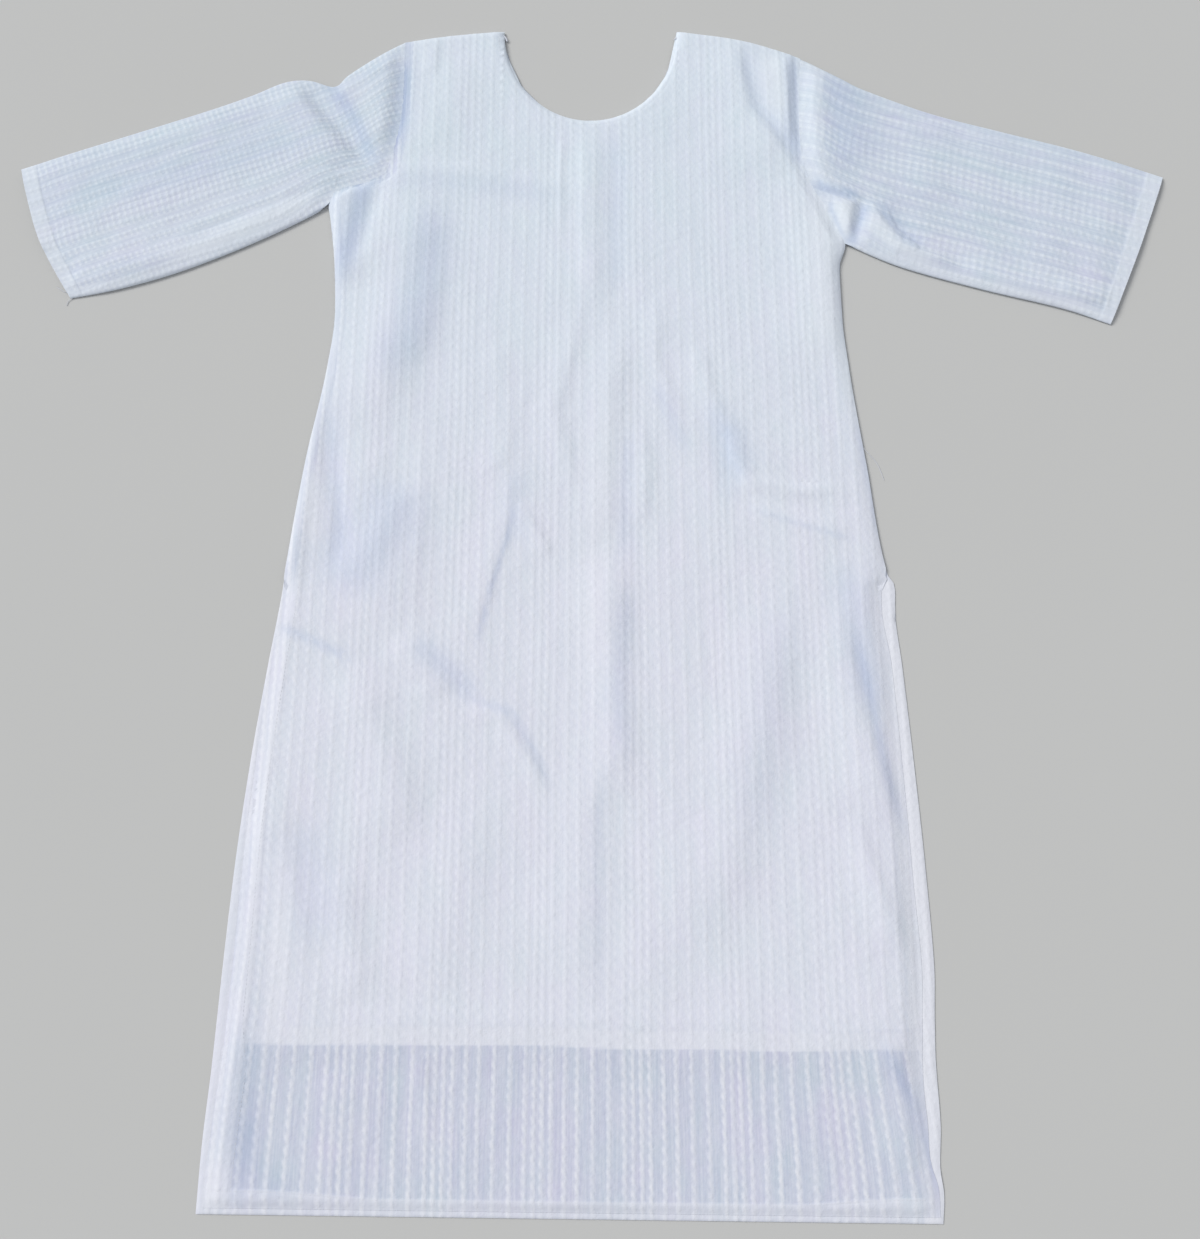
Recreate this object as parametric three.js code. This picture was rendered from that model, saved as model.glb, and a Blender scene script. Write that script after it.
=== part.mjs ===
// A kurti laid flat on its back: a straight knee-length tunic with a round neck, set-in elbow
// sleeves, open side slits and a shorter plain lining inside the front and the back.
//
// Garment directions, in millimetres: x to the right, y from the hem up to the shoulders and
// z up from the surface that the cloth lies on. The whole garment is centred over the origin
// at the end. Every piece of cloth is a thin closed wall, and the pieces lie on each other
// with a small air gap.

import * as THREE from 'three';

// Driving sizes of the garment.
const NECK_HALF_WIDTH = 83;
const NECK_DEPTH = 99;
const SHOULDER_HEIGHT = 1044; // hem to the high shoulder point
const WAIST_HEIGHT = 738.7; // straight rows below, rows that reach for the shoulders above
const HEM_TILT = -0.0122; // the hem drops a little towards the right
const HEM_BAND = 13; // depth of the turned-up hem
const HEM_STEP = 2; // length of the step behind the hem's fold
const FRONT_HEM_RISE = 7; // how much of the back's hem shows below the front
const FRONT_LINING_HEM = 122.5;
const BACK_LINING_HEM = 133.5;
const LINING_TRIM = 2; // the lining stops short of the seams
const EDGE_STRIP = 0.016; // share of the width in the narrow first and last column
const SEAM_GAP = 0.4;

// Heights above the surface.
const BACK_WALL = 1.0;
const LINING_WALL = 1.0;
const FRONT_WALL = 1.2;
const HEM_EXTRA = 0.6; // the folded hem is thicker than the single cloth
const LAYER_GAP = 0.3;
const BACK_LINING_LEVEL = BACK_WALL + LAYER_GAP;
const FRONT_LINING_LEVEL = BACK_LINING_LEVEL + LINING_WALL + LAYER_GAP;
const FRONT_OVER_LINING = FRONT_LINING_LEVEL + LINING_WALL + LAYER_GAP;
const FRONT_OVER_BACK = BACK_WALL + HEM_EXTRA + LAYER_GAP;
const SLIT_SETTLED = 440; // below this height the front's side edge lies on the back
const SLIT_LIFTED = 470; // above this height it lies on the lining
const COVER_STARTS = 117; // the front rises onto the lining between these two heights
const COVER_ENDS = 105;
const HEM_SMOOTH = 90; // the folds of the front die out below this height

// Sleeves.
const SLEEVE_WALL = 1.3;
const SLEEVE_HEIGHT = FRONT_OVER_LINING + FRONT_WALL;
const SLEEVE_STATIONS = 14;
const SLEEVE_PUFF = 1.2; // the most that a sleeve rises, so its hollow stays under 4 mm
const SLEEVE_DIP = 1.2; // the most that it sinks
const SLEEVE_SEAM_SHARE = 0.12; // share of the sleeve's length over which its folds fade in

const CLOTH = { color: 0xd9dee9, roughness: 0.85, metalness: 0 };
const LINING = { color: 0xf1f3f7, roughness: 0.9, metalness: 0 };

// Side edges of the back, one row for each height.
const SIDE_EDGES = [
  { y: 0, left: -292.5, right: 264.5 },
  { y: 37, left: -292.1, right: 266.4 },
  { y: 108, left: -288.9, right: 266.9 },
  { y: 182, left: -286.3, right: 270.6 },
  { y: 258, left: -282.8, right: 268.8 },
  { y: 338, left: -276.7, right: 265.3 },
  { y: 421, left: -267.8, right: 260.8 },
  { y: 486, left: -260.0, right: 259.0 },
  { y: 500, left: -258.9, right: 253.1 },
  { y: 599, left: -248.1, right: 240.8 },
  { y: 694, left: -233.5, right: 230.1 },
  { y: WAIST_HEIGHT, left: -229.7, right: 227.0 },
];

// How far inside the back's edge the other panels end, one row for each height.
const FRONT_INSETS = [
  { y: 0, left: 16, right: 16 },
  { y: 60, left: 15, right: 9 },
  { y: 120, left: 13, right: 6 },
  { y: 240, left: 9, right: 6 },
  { y: 330, left: 6, right: 5 },
  { y: 420, left: 3, right: 8 },
  { y: 486, left: 1.5, right: 12 },
  { y: 500, left: 0, right: 0 },
  { y: WAIST_HEIGHT, left: 0, right: 0 },
];
const LINING_INSETS = [
  { y: 120, left: 47, right: 17 },
  { y: 231, left: 38, right: 17 },
  { y: 270, left: 26, right: 17 },
  { y: 330, left: 20, right: 17 },
  { y: SLIT_LIFTED, left: 14, right: 22 },
  { y: 512, left: LINING_TRIM, right: LINING_TRIM },
  { y: WAIST_HEIGHT, left: LINING_TRIM, right: LINING_TRIM },
];

// Heights of the rows of each panel, from the hem to the waist.
const FRONT_ROWS = [HEM_BAND, HEM_BAND + HEM_STEP, 45, 75, COVER_ENDS, COVER_STARTS,
  ...steps(143, SLIT_SETTLED, 11), SLIT_LIFTED, 500, 512, ...steps(540, WAIST_HEIGHT, 7)];
const BACK_ROWS = [HEM_BAND, HEM_BAND + HEM_STEP, 108, 182, 258, 338, 421, 486, 500, 599, 694, WAIST_HEIGHT];
const LINING_ROWS = [182, 231, 270, 330, 400, SLIT_LIFTED, 512, 599, 694, WAIST_HEIGHT];

// Seams and edges, each a smooth curve through a few points.
const LEFT_ARMHOLE = curve([-241.8, 856], [-230, 873], [-209, 886], [-192, 905], [-183, 950],
  [-179.9, 991], [-178.7, 1031.7]);
const LEFT_SHOULDER = curve([-178.7, 1031.7], [-128.9, 1039.7], [-83, 1044]);
const RIGHT_SHOULDER = curve([83, 1044], [143.8, 1034], [188.5, 1019], [200.8, 1013.6]);
const RIGHT_ARMHOLE = curve([233.6, 814.5], [218.2, 857], [209, 877], [199.4, 914.5],
  [196, 969], [200.8, 1013.6]);
const LEFT_SLEEVE = {
  armhole: LEFT_ARMHOLE,
  over: curve([-178.7, 1031.7], [-202, 1017], [-229.8, 995.7], [-243.3, 982.3], [-267.6, 989],
    [-291.3, 986.8], [-323.5, 971.3], [-369.4, 952.6], [-460.4, 918.9], [-530.5, 893.1]),
  under: curve([-241.8, 856], [-258.6, 842.5], [-311.8, 813.5], [-373.5, 785.9],
    [-426.4, 768.7], [-469.9, 759.7]),
  cuff: curve([-469.9, 759.7], [-505, 819.7], [-530.5, 893.1]),
};
const RIGHT_SLEEVE = {
  armhole: RIGHT_ARMHOLE,
  over: curve([200.8, 1013.6], [238, 991.2], [261.1, 977.9], [321.2, 952.6], [385.7, 932.9],
    [458.9, 911.3], [532.6, 884.6]),
  under: curve([233.6, 814.5], [282.6, 791], [353.7, 768.7], [424.4, 749.7], [467.9, 733.8]),
  cuff: curve([467.9, 733.8], [504.1, 814.5], [532.6, 884.6]),
};

// Where the seams are divided, as shares of their length from the lower end.
const ARMHOLE_SHARES = [0, 0.02, 0.16, 0.3, 0.44, 0.58, 0.72, 0.87, 0.98, 1];
const SHOULDER_SHARES = [0.5, 1];
const NECK_STEPS = 10;

// The largest folds of the front: straight stretches of soft ridge (or trough, where the
// height is negative), with rounded ends.
const FRONT_FOLDS = [
  { name: 'centre, chest', x0: -7, y0: 931, x1: -6, y1: 729, width: 15, height: 2.8 },
  { name: 'centre, waist', x0: 15, y0: 715, x1: -3, y1: 409, width: 24, height: 5.2 },
  { name: 'centre, skirt', x0: 6, y0: 330, x1: 2, y1: 193, width: 18, height: 3.2 },
  { name: 'left, chest', x0: -158, y0: 840, x1: -196, y1: 680, width: 28, height: 3.4 },
  { name: 'left, waist', x0: -196, y0: 680, x1: -190, y1: 513, width: 26, height: 3.2 },
  { name: 'left, crease', x0: -66, y0: 590, x1: -97, y1: 443, width: 15, height: 2.6 },
  { name: 'left, kick', x0: -134, y0: 443, x1: -74, y1: 388, width: 16, height: -2.2 },
  { name: 'left, kick end', x0: -74, y0: 388, x1: -40, y1: 334, width: 15, height: -2.0 },
  { name: 'left, skirt', x0: -186, y0: 400, x1: -180, y1: 193, width: 26, height: 3.0 },
  { name: 'right, elbow', x0: 127, y0: 585, x1: 217, y1: 568, width: 16, height: 2.4 },
  { name: 'right, hip', x0: 191, y0: 486, x1: 146, y1: 318, width: 22, height: -2.2 },
  { name: 'right, slit', x0: 208, y0: 478, x1: 238, y1: 230, width: 16, height: 2.8 },
  { name: 'right, waist', x0: 110, y0: 700, x1: 96, y1: 480, width: 30, height: 2.0 },
];
const FRONT_EASE = 1.4; // the panel stands this far off the lining between its folds

const LEFT_SLEEVE_FOLDS = [
  { name: 'cap', x0: -205, y0: 985, x1: -200, y1: 905, width: 16, height: 1.2 },
  { name: 'cap trough', x0: -240, y0: 975, x1: -208, y1: 922, width: 13, height: -2.2 },
  { name: 'puff', x0: -285, y0: 968, x1: -250, y1: 925, width: 20, height: 1.2 },
  { name: 'under edge', x0: -270, y0: 852, x1: -455, y1: 780, width: 18, height: 1.2 },
];
const RIGHT_SLEEVE_FOLDS = [
  { name: 'cap', x0: 222, y0: 985, x1: 222, y1: 900, width: 14, height: 1.2 },
  { name: 'armpit valley', x0: 240, y0: 850, x1: 300, y1: 800, width: 12, height: -2.2 },
  { name: 'under edge', x0: 290, y0: 800, x1: 450, y1: 757, width: 16, height: 1.2 },
];

/** Even steps from the first value to the last, both included. */
function steps(first, last, count) {
  return Array.from({ length: count + 1 }, (_, i) => first + ((last - first) * i) / count);
}

/** A smooth plan curve through the given [x, y] points. */
function curve(...points) {
  return new THREE.SplineCurve(points.map(([x, y]) => new THREE.Vector2(x, y)));
}

/** The value of a column of a table at a height, straight between its rows. */
function tableAt(table, column, y) {
  const next = table.findIndex((row) => row.y > y);
  if (next === -1) return table.at(-1)[column];
  if (next === 0) return table[0][column];
  const [a, b] = [table[next - 1], table[next]];
  return a[column] + ((b[column] - a[column]) * (y - a.y)) / (b.y - a.y);
}

/** 0 below the first bound, 1 above the second, smooth between. */
function ramp(value, from, to) {
  return THREE.MathUtils.smoothstep(value, from, to);
}

/** Height of one fold at a plan point: a bell across the nearest point of its stretch. */
function foldHeight(fold, x, y) {
  const [dx, dy] = [fold.x1 - fold.x0, fold.y1 - fold.y0];
  const along = ((x - fold.x0) * dx + (y - fold.y0) * dy) / (dx * dx + dy * dy);
  const share = THREE.MathUtils.clamp(along, 0, 1);
  const distance = Math.hypot(x - fold.x0 - share * dx, y - fold.y0 - share * dy);
  return fold.height * Math.exp(-((distance / fold.width) ** 2));
}

/** Sum of the folds of a list at a plan point. */
function foldsAt(folds, x, y) {
  return folds.reduce((sum, fold) => sum + foldHeight(fold, x, y), 0);
}

/** The upper end of the body: left armhole, left shoulder, neck, right shoulder, right armhole. */
function topPath() {
  const along = (path, shares) => shares.map((share) => path.getPointAt(share));
  const neck = steps(-Math.PI, 0, NECK_STEPS).slice(1).map((angle) => new THREE.Vector2(
    NECK_HALF_WIDTH * Math.cos(angle), SHOULDER_HEIGHT + NECK_DEPTH * Math.sin(angle)));
  return [
    ...along(LEFT_ARMHOLE, ARMHOLE_SHARES),
    ...along(LEFT_SHOULDER, SHOULDER_SHARES),
    ...neck,
    ...along(RIGHT_SHOULDER, SHOULDER_SHARES),
    ...along(RIGHT_ARMHOLE, ARMHOLE_SHARES.slice(0, -1)).reverse(),
  ];
}

/** Share of the width at which each column of a panel lies below the waist. */
function columnShares(count) {
  return [0, ...steps(EDGE_STRIP, 1 - EDGE_STRIP, count - 3), 1];
}

/**
 * Plan points of a panel, row by row from the hem. Rows below the waist are level. Above it
 * each column runs straight from the waist row to its own point of the top path.
 */
function panelPlan({ hem, rows, insets, upperRows, trim }) {
  const top = topPath();
  const shares = columnShares(top.length);
  const edgeAt = (side, y) => {
    const inset = insets ? tableAt(insets, side, y) : 0;
    return tableAt(SIDE_EDGES, side, y) + (side === 'left' ? inset : -inset);
  };
  const row = (y, tilt) => shares.map((share) => {
    const x = THREE.MathUtils.lerp(edgeAt('left', y), edgeAt('right', y), share);
    return new THREE.Vector2(x, y + tilt * HEM_TILT * x);
  });
  const plan = [row(hem, 1), ...rows.map((y) => row(y, y < COVER_ENDS ? 1 : 0))];
  const waist = plan.at(-1);
  for (const share of steps(0, 1, upperRows).slice(1)) {
    plan.push(waist.map((point, column) => {
      const reach = 1 - trim / point.distanceTo(top[column]);
      return point.clone().lerp(top[column], share * reach);
    }));
  }
  return plan;
}

/** A closed wall between two height fields over the same grid of plan points. */
function wallGeometry(plan, lower, upper) {
  const [rows, columns] = [plan.length, plan[0].length];
  const positions = [];
  for (const heights of [lower, upper]) {
    plan.forEach((line, r) => line.forEach((p, c) => positions.push(p.x, p.y, heights[r][c])));
  }
  const low = (r, c) => r * columns + c;
  const high = (r, c) => rows * columns + low(r, c);
  const index = [];
  const quad = (a, b, c, d) => index.push(a, b, c, a, c, d);
  for (let r = 0; r < rows - 1; r += 1) {
    for (let c = 0; c < columns - 1; c += 1) {
      quad(high(r, c), high(r, c + 1), high(r + 1, c + 1), high(r + 1, c));
      index.push(low(r, c), low(r + 1, c + 1), low(r, c + 1));
      index.push(low(r, c), low(r + 1, c), low(r + 1, c + 1));
    }
  }
  for (let c = 0; c < columns - 1; c += 1) {
    quad(low(0, c), low(0, c + 1), high(0, c + 1), high(0, c));
    quad(low(rows - 1, c + 1), low(rows - 1, c), high(rows - 1, c), high(rows - 1, c + 1));
  }
  for (let r = 0; r < rows - 1; r += 1) {
    quad(low(r + 1, 0), low(r, 0), high(r, 0), high(r + 1, 0));
    quad(low(r, columns - 1), low(r + 1, columns - 1), high(r + 1, columns - 1), high(r, columns - 1));
  }
  return bufferGeometry(positions, index);
}

function bufferGeometry(positions, index) {
  const geometry = new THREE.BufferGeometry();
  geometry.setAttribute('position', new THREE.Float32BufferAttribute(positions, 3));
  geometry.setIndex(index);
  geometry.computeVertexNormals();
  return geometry;
}

function clothMesh(name, geometry, finish) {
  const mesh = new THREE.Mesh(geometry, new THREE.MeshStandardMaterial(finish));
  mesh.name = name;
  return mesh;
}

/** Height of the front's lower face: laid on the back or on the lining, and lifted by folds. */
function frontLevel(plan, r, c) {
  const { x, y } = plan[r][c];
  const lastColumn = plan[0].length - 1;
  const edgeSteps = Math.min(c, lastColumn - c);
  const coveredBelow = ramp(y, COVER_ENDS, COVER_STARTS);
  const coveredBeside = edgeSteps > 0 ? 1 : ramp(y, SLIT_SETTLED, SLIT_LIFTED);
  const rest = THREE.MathUtils.lerp(FRONT_OVER_BACK, FRONT_OVER_LINING, coveredBelow * coveredBeside);
  const fade = Math.min(edgeSteps, plan.length - 1 - r, 2) / 2;
  const hemFade = ramp(y, HEM_BAND, HEM_SMOOTH);
  return rest + fade * hemFade * Math.max(0, FRONT_EASE + foldsAt(FRONT_FOLDS, x, y));
}

function frontMesh() {
  const plan = panelPlan({
    hem: FRONT_HEM_RISE,
    rows: FRONT_ROWS.map((y) => (y < COVER_ENDS ? y + FRONT_HEM_RISE : y)),
    insets: FRONT_INSETS,
    upperRows: 8,
    trim: 0,
  });
  const lower = plan.map((line, r) => line.map((_, c) => frontLevel(plan, r, c)));
  const upper = lower.map((line, r) => line.map((z) => z + FRONT_WALL + (r < 2 ? HEM_EXTRA : 0)));
  return clothMesh('front', wallGeometry(plan, lower, upper), CLOTH);
}

function flatPanelMesh(name, plan, level, thicknessOfRow, finish) {
  const lower = plan.map((line) => line.map(() => level));
  const upper = plan.map((line, r) => line.map(() => level + thicknessOfRow(r)));
  return clothMesh(name, wallGeometry(plan, lower, upper), finish);
}

function backMesh() {
  const plan = panelPlan({ hem: 0, rows: BACK_ROWS, insets: null, upperRows: 4, trim: 0 });
  return flatPanelMesh('back', plan, 0, (r) => BACK_WALL + (r < 2 ? HEM_EXTRA : 0), CLOTH);
}

function liningMesh(name, hem, level) {
  const plan = panelPlan({
    hem, rows: LINING_ROWS, insets: LINING_INSETS, upperRows: 3, trim: LINING_TRIM });
  return flatPanelMesh(name, plan, level, () => LINING_WALL, LINING);
}

/**
 * A plan point of a sleeve, s from armhole to cuff and t from under edge to over edge: the
 * four edges blended across the patch between them.
 */
function sleevePoint(edges, s, t) {
  const blend = (a, b, share) => a.clone().lerp(b, share);
  const lengthwise = blend(edges.under.getPointAt(s), edges.over.getPointAt(s), t);
  const crosswise = blend(edges.armhole.getPointAt(t), edges.cuff.getPointAt(t), s);
  const corners = blend(
    blend(edges.under.getPointAt(0), edges.over.getPointAt(0), t),
    blend(edges.under.getPointAt(1), edges.over.getPointAt(1), t),
    s,
  );
  return lengthwise.add(crosswise).sub(corners);
}

/** Height of a sleeve's outer upper face, level with the front along the armhole seam. */
function sleeveLevel(folds, s, point) {
  const lift = THREE.MathUtils.clamp(foldsAt(folds, point.x, point.y), -SLEEVE_DIP, SLEEVE_PUFF);
  return SLEEVE_HEIGHT + ramp(s, 0, SLEEVE_SEAM_SHARE) * lift;
}

/**
 * One ring of points of a flattened sleeve: under edge, lower wall, over edge and back along
 * the upper wall. A wall of 0 gives the outer ring, and a real one the ring inside it.
 */
function sleeveRing(edges, folds, side, s, wall) {
  const seamGap = new THREE.Vector2(side * SEAM_GAP, SEAM_GAP / 2);
  const width = edges.under.getPointAt(s).distanceTo(edges.over.getPointAt(s));
  const points = ARMHOLE_SHARES.map((share) => {
    const t = THREE.MathUtils.lerp(wall / width, 1 - wall / width, share);
    return sleevePoint(edges, s, t).add(seamGap);
  });
  const at = (point, z) => [point.x, point.y, z];
  const between = points.slice(1, -1);
  return [
    at(points[0], SLEEVE_HEIGHT / 2),
    ...between.map((point) => at(point, wall)),
    at(points.at(-1), SLEEVE_HEIGHT / 2),
    ...between.reverse().map((point) => at(point, sleeveLevel(folds, s, point) - wall)),
  ];
}

/** A sleeve pressed flat: a tube whose section is a long slot, open at armhole and cuff. */
function sleeveMesh(name, edges, folds, side) {
  const stations = steps(0, 1, SLEEVE_STATIONS);
  const ringsOf = (wall) => stations.flatMap((s) => sleeveRing(edges, folds, side, s, wall));
  const outerPoints = ringsOf(0);
  const positions = [...outerPoints, ...ringsOf(SLEEVE_WALL)].flat();
  const ring = outerPoints.length / stations.length;
  const outer = (n, k) => n * ring + (k % ring);
  const inner = (n, k) => outerPoints.length + outer(n, k);
  const index = [];
  const quad = (a, b, c, d) => {
    if (side > 0) index.push(a, b, c, a, c, d);
    else index.push(a, c, b, a, d, c);
  };
  for (let k = 0; k < ring; k += 1) {
    for (let n = 0; n < SLEEVE_STATIONS; n += 1) {
      quad(outer(n, k), outer(n, k + 1), outer(n + 1, k + 1), outer(n + 1, k));
      quad(inner(n, k), inner(n + 1, k), inner(n + 1, k + 1), inner(n, k + 1));
    }
    const cuff = SLEEVE_STATIONS;
    quad(outer(0, k), inner(0, k), inner(0, k + 1), outer(0, k + 1));
    quad(outer(cuff, k), outer(cuff, k + 1), inner(cuff, k + 1), inner(cuff, k));
  }
  return clothMesh(name, bufferGeometry(positions, index), CLOTH);
}

/** Centres the garment over the origin, standing on z = 0. */
function centred(group) {
  const box = new THREE.Box3().setFromObject(group);
  const middle = box.getCenter(new THREE.Vector3());
  group.position.set(-middle.x, -middle.y, -box.min.z);
  group.updateMatrixWorld(true);
  return group;
}

const kurti = new THREE.Group();
kurti.add(
  backMesh(),
  liningMesh('back_lining', BACK_LINING_HEM, BACK_LINING_LEVEL),
  liningMesh('front_lining', FRONT_LINING_HEM, FRONT_LINING_LEVEL),
  frontMesh(),
  sleeveMesh('sleeve_left', LEFT_SLEEVE, LEFT_SLEEVE_FOLDS, -1),
  sleeveMesh('sleeve_right', RIGHT_SLEEVE, RIGHT_SLEEVE_FOLDS, 1),
);

export default centred(kurti);
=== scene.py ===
"""A striped cotton kurti laid flat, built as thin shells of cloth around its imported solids.
"""

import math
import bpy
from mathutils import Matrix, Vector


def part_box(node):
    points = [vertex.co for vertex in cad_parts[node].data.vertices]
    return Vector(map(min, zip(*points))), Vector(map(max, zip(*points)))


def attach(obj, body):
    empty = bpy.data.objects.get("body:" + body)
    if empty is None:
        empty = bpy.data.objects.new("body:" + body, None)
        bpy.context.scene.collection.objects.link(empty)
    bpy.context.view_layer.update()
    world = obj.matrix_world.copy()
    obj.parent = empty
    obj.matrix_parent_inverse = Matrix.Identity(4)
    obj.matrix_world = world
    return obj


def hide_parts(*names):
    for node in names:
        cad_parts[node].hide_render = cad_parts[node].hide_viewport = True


bl_info = {
    "name": "Kurti laid flat",
    "version": (1, 0, 0),
    "blender": (4, 5, 0),
    "location": "3D View > Sidebar > Kurti",
    "description": "Builds a striped cotton kurti with lining, hems and seams, laid flat",
    "category": "Object",
}

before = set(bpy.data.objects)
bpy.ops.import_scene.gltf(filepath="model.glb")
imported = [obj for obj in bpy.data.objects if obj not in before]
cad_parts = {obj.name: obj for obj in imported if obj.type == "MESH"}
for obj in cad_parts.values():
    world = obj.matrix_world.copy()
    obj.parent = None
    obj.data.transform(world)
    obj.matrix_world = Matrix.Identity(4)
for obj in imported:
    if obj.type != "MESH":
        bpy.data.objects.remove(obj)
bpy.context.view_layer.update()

import bpy
import numpy as np

# ---------------------------------------------------------------------------------------
# Garment sizes in millimetres: x to the right, y from the hem up, z up from the surface.
# ---------------------------------------------------------------------------------------
MM = 0.001
SHOULDER_HEIGHT = 1044.0
HEM_LEFT = -292.5
NECK_HALF_WIDTH = 83.0
NECK_DEPTH = 99.0
STRAIGHT_ROWS_END = 900.0  # rows are level below this height and reach for the top above it
HEM_TILT = -0.0122
FRONT_HEM_RISE = 4.6
HEM_BAND = 8.2  # height of the hem fold in the middle; it is taller at both ends
HEM_BAND_ENDS = 5.0
SLIT_TOP = 497.0
LINING_HEM = 121.0
BACK_LINING_HEM = 133.5
CUFF_BAND = 12.5

BACK_LOW, BACK_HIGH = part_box("back")
MIDDLE = np.array([BACK_LOW[0] / MM - HEM_LEFT, BACK_HIGH[1] / MM - SHOULDER_HEIGHT, 0.0])

# The woven stripe: eight puckered lines in each repeat, given by their distance from the
# first of the four close ones.
REPEAT = 75.4
FIRST_LINE = -47.6
LINE_PLACES = np.array([0.0, 6.7, 13.0, 19.7, 30.1, 39.7, 51.5, 63.7])
LINE_HALF_WIDTH = 1.6
PUCKER_LENGTH = 9.3
PUCKER_LEAN = 0.33

# Armhole seams, each a smooth curve through a few [x, y] points from the armpit up.
LEFT_ARMHOLE = np.array([(-241.8, 856), (-236, 868), (-222, 874), (-203, 878.5), (-190.5, 888),
                         (-185, 908), (-178.5, 950), (-177.5, 991), (-178.7, 1031.7)])
RIGHT_ARMHOLE = np.array([(233.6, 814.5), (226.5, 828), (220.5, 843), (216.5, 856),
                          (210.5, 866), (205.5, 876), (198.5, 901), (197, 949), (200.8, 1013.6)])

# Side edges of the back, columns y and x; the armholes end them.
LEFT_EDGE = np.vstack([[
    (0, -292.5), (37, -292.1), (108, -288.9), (182, -286.3), (258, -282.8), (338, -276.7),
    (421, -267.8), (486, -260.0), (500, -258.9), (599, -248.1), (694, -233.5),
    (738.7, -229.7), (789, -232.5), (840, -239.2)], LEFT_ARMHOLE[:, ::-1]])
RIGHT_EDGE = np.vstack([[
    (0, 264.5), (20, 266.5), (37, 264.9), (70, 267.4), (108, 266.9), (140, 268.2),
    (182, 270.6), (258, 268.8), (338, 265.3), (421, 260.8), (465, 257.7), (486, 259.0),
    (495, 257.4), (500, 253.1), (599, 240.8), (694, 230.1), (738.7, 227.0), (789, 226.8)],
    RIGHT_ARMHOLE[:, ::-1]])
LEFT_SHOULDER = np.array([(-178.7, 1031.7), (-128.9, 1039.7), (-83.0, 1044.0)])
RIGHT_SHOULDER = np.array([(83.0, 1044.0), (143.8, 1034.0), (188.5, 1019.0), (200.8, 1013.6)])
LEFT_ARMPIT = 856.0
RIGHT_ARMPIT = 814.5

# How far inside the back's edge the front and the linings end, columns y, left and right.
FRONT_INSET = np.array([
    (0, 5, 2), (20, 5, 4), (45, 6, 8), (90, 7, 11), (130, 8, 10), (180, 8, 10),
    (240, 7, 11), (330, 5, 10), (420, 3, 9), (486, 1.5, 12), (498, 0, 3), (506, 0, 0),
    (1044, 0, 0)])
LINING_INSET = np.array([
    (100, 22, 22), (231, 18, 23), (270, 16, 23), (330, 15, 22), (470, 14, 22),
    (530, 10, 10), (1044, 10, 10)])

# Edges of the sleeves, each a smooth curve through a few [x, y] points. The left one lies
# over its armhole's lower bend, which its under edge follows.
LEFT_SLEEVE = {
    "seam": LEFT_ARMHOLE,
    "armhole": LEFT_ARMHOLE[4:],
    "over": np.array([(-178.7, 1031.7), (-202, 1017), (-229.8, 995.7), (-243.3, 982.3),
                      (-267.6, 989), (-291.3, 986.8), (-323.5, 971.3), (-369.4, 952.6),
                      (-460.4, 918.9), (-530.5, 893.1)]),
    "under": np.vstack([LEFT_ARMHOLE[4::-1], [
        (-258.6, 842.5), (-311.8, 813.5), (-373.5, 785.9), (-426.4, 768.7), (-469.9, 759.7)]]),
    "cuff": np.array([(-469.9, 759.7), (-505, 819.7), (-530.5, 893.1)]),
}
RIGHT_SLEEVE = {
    "seam": RIGHT_ARMHOLE,
    "armhole": RIGHT_ARMHOLE,
    "over": np.array([(200.8, 1013.6), (238, 991.2), (261.1, 977.9), (321.2, 952.6),
                      (385.7, 932.9), (458.9, 911.3), (532.6, 884.6)]),
    "under": np.array([(233.6, 814.5), (282.6, 791), (353.7, 768.7), (424.4, 749.7),
                       (467.9, 733.8)]),
    "cuff": np.array([(467.9, 733.8), (504.1, 814.5), (532.6, 884.6)]),
}

# Heights in the pile of layers.
CLOTH = 0.55  # one layer of striped cloth
BACK_TOP = 0.9
BACK_EDGE = 0.45
BACK_LINING_LEVEL = 1.25
FRONT_LINING_LEVEL = 2.05
LINING_CLOTH = 0.4
FRONT_ON_LINING = 4.4  # upper face of the front where it lies on the linings
FRONT_ON_BACK = 2.6
LEAST_ON_LINING = 3.35  # its folds go no lower than this
LEAST_ON_BACK = 2.2
EDGE_CLOTH = 0.15  # what is left of the front's thickness at its pressed free edges
EDGE_LEVEL = 1.36  # upper face of the front at its free edges
SOFT_LANDING = 0.3  # how gently folds come to rest on the layer below
HEM_EXTRA = 0.5
SEAM_LEVEL = 1.7  # upper face where front and back are sewn together
SEAM_LEFT = 3.3  # upper face along the left armhole seam
SEAM_RIGHT = 2.4  # upper face along the right armhole seam
PUCKER_HEIGHT = 0.26
UNDER_TUCK = 0.5  # how far a panel's lower face ends inside its upper one
SLEEVE_HEIGHT = 5.0
SLEEVE_EDGE = 2.9  # height of a flattened sleeve at its two folded edges
EDGE_RADIUS = 4.0

# Hems, allowances and stitch rows.
NECK_SPREAD = 88.0  # millimetres to one radius of the neckline, between its width and depth
NECK_STITCH = 6.0  # distance of the stitches from the neckline
HEM_STITCH = 1.4  # distance of a row of stitches from its hem's upper fold
SLIT_HEM = 10.5
SLIT_STITCH = 1.5
LINING_BAND = 12.5  # height of the linings' hems
LINING_TOP_TRIM = 9.0  # how far below shoulders and neckline the linings end
FAR = 99.0  # stands for a distance too large to matter

# Plan grids.
INNER = 172.0  # columns stand still inside this half width and follow the edges outside it
OUTER_LEFT = 292.5
OUTER_RIGHT = 271.0
SLEEVE_COLUMNS = 118
SLEEVE_ROWS = 196
LOWER_COLUMNS = 26
RIM_ANGLE = math.radians(62.0)  # edges steeper than this are shaded as sharp

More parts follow.
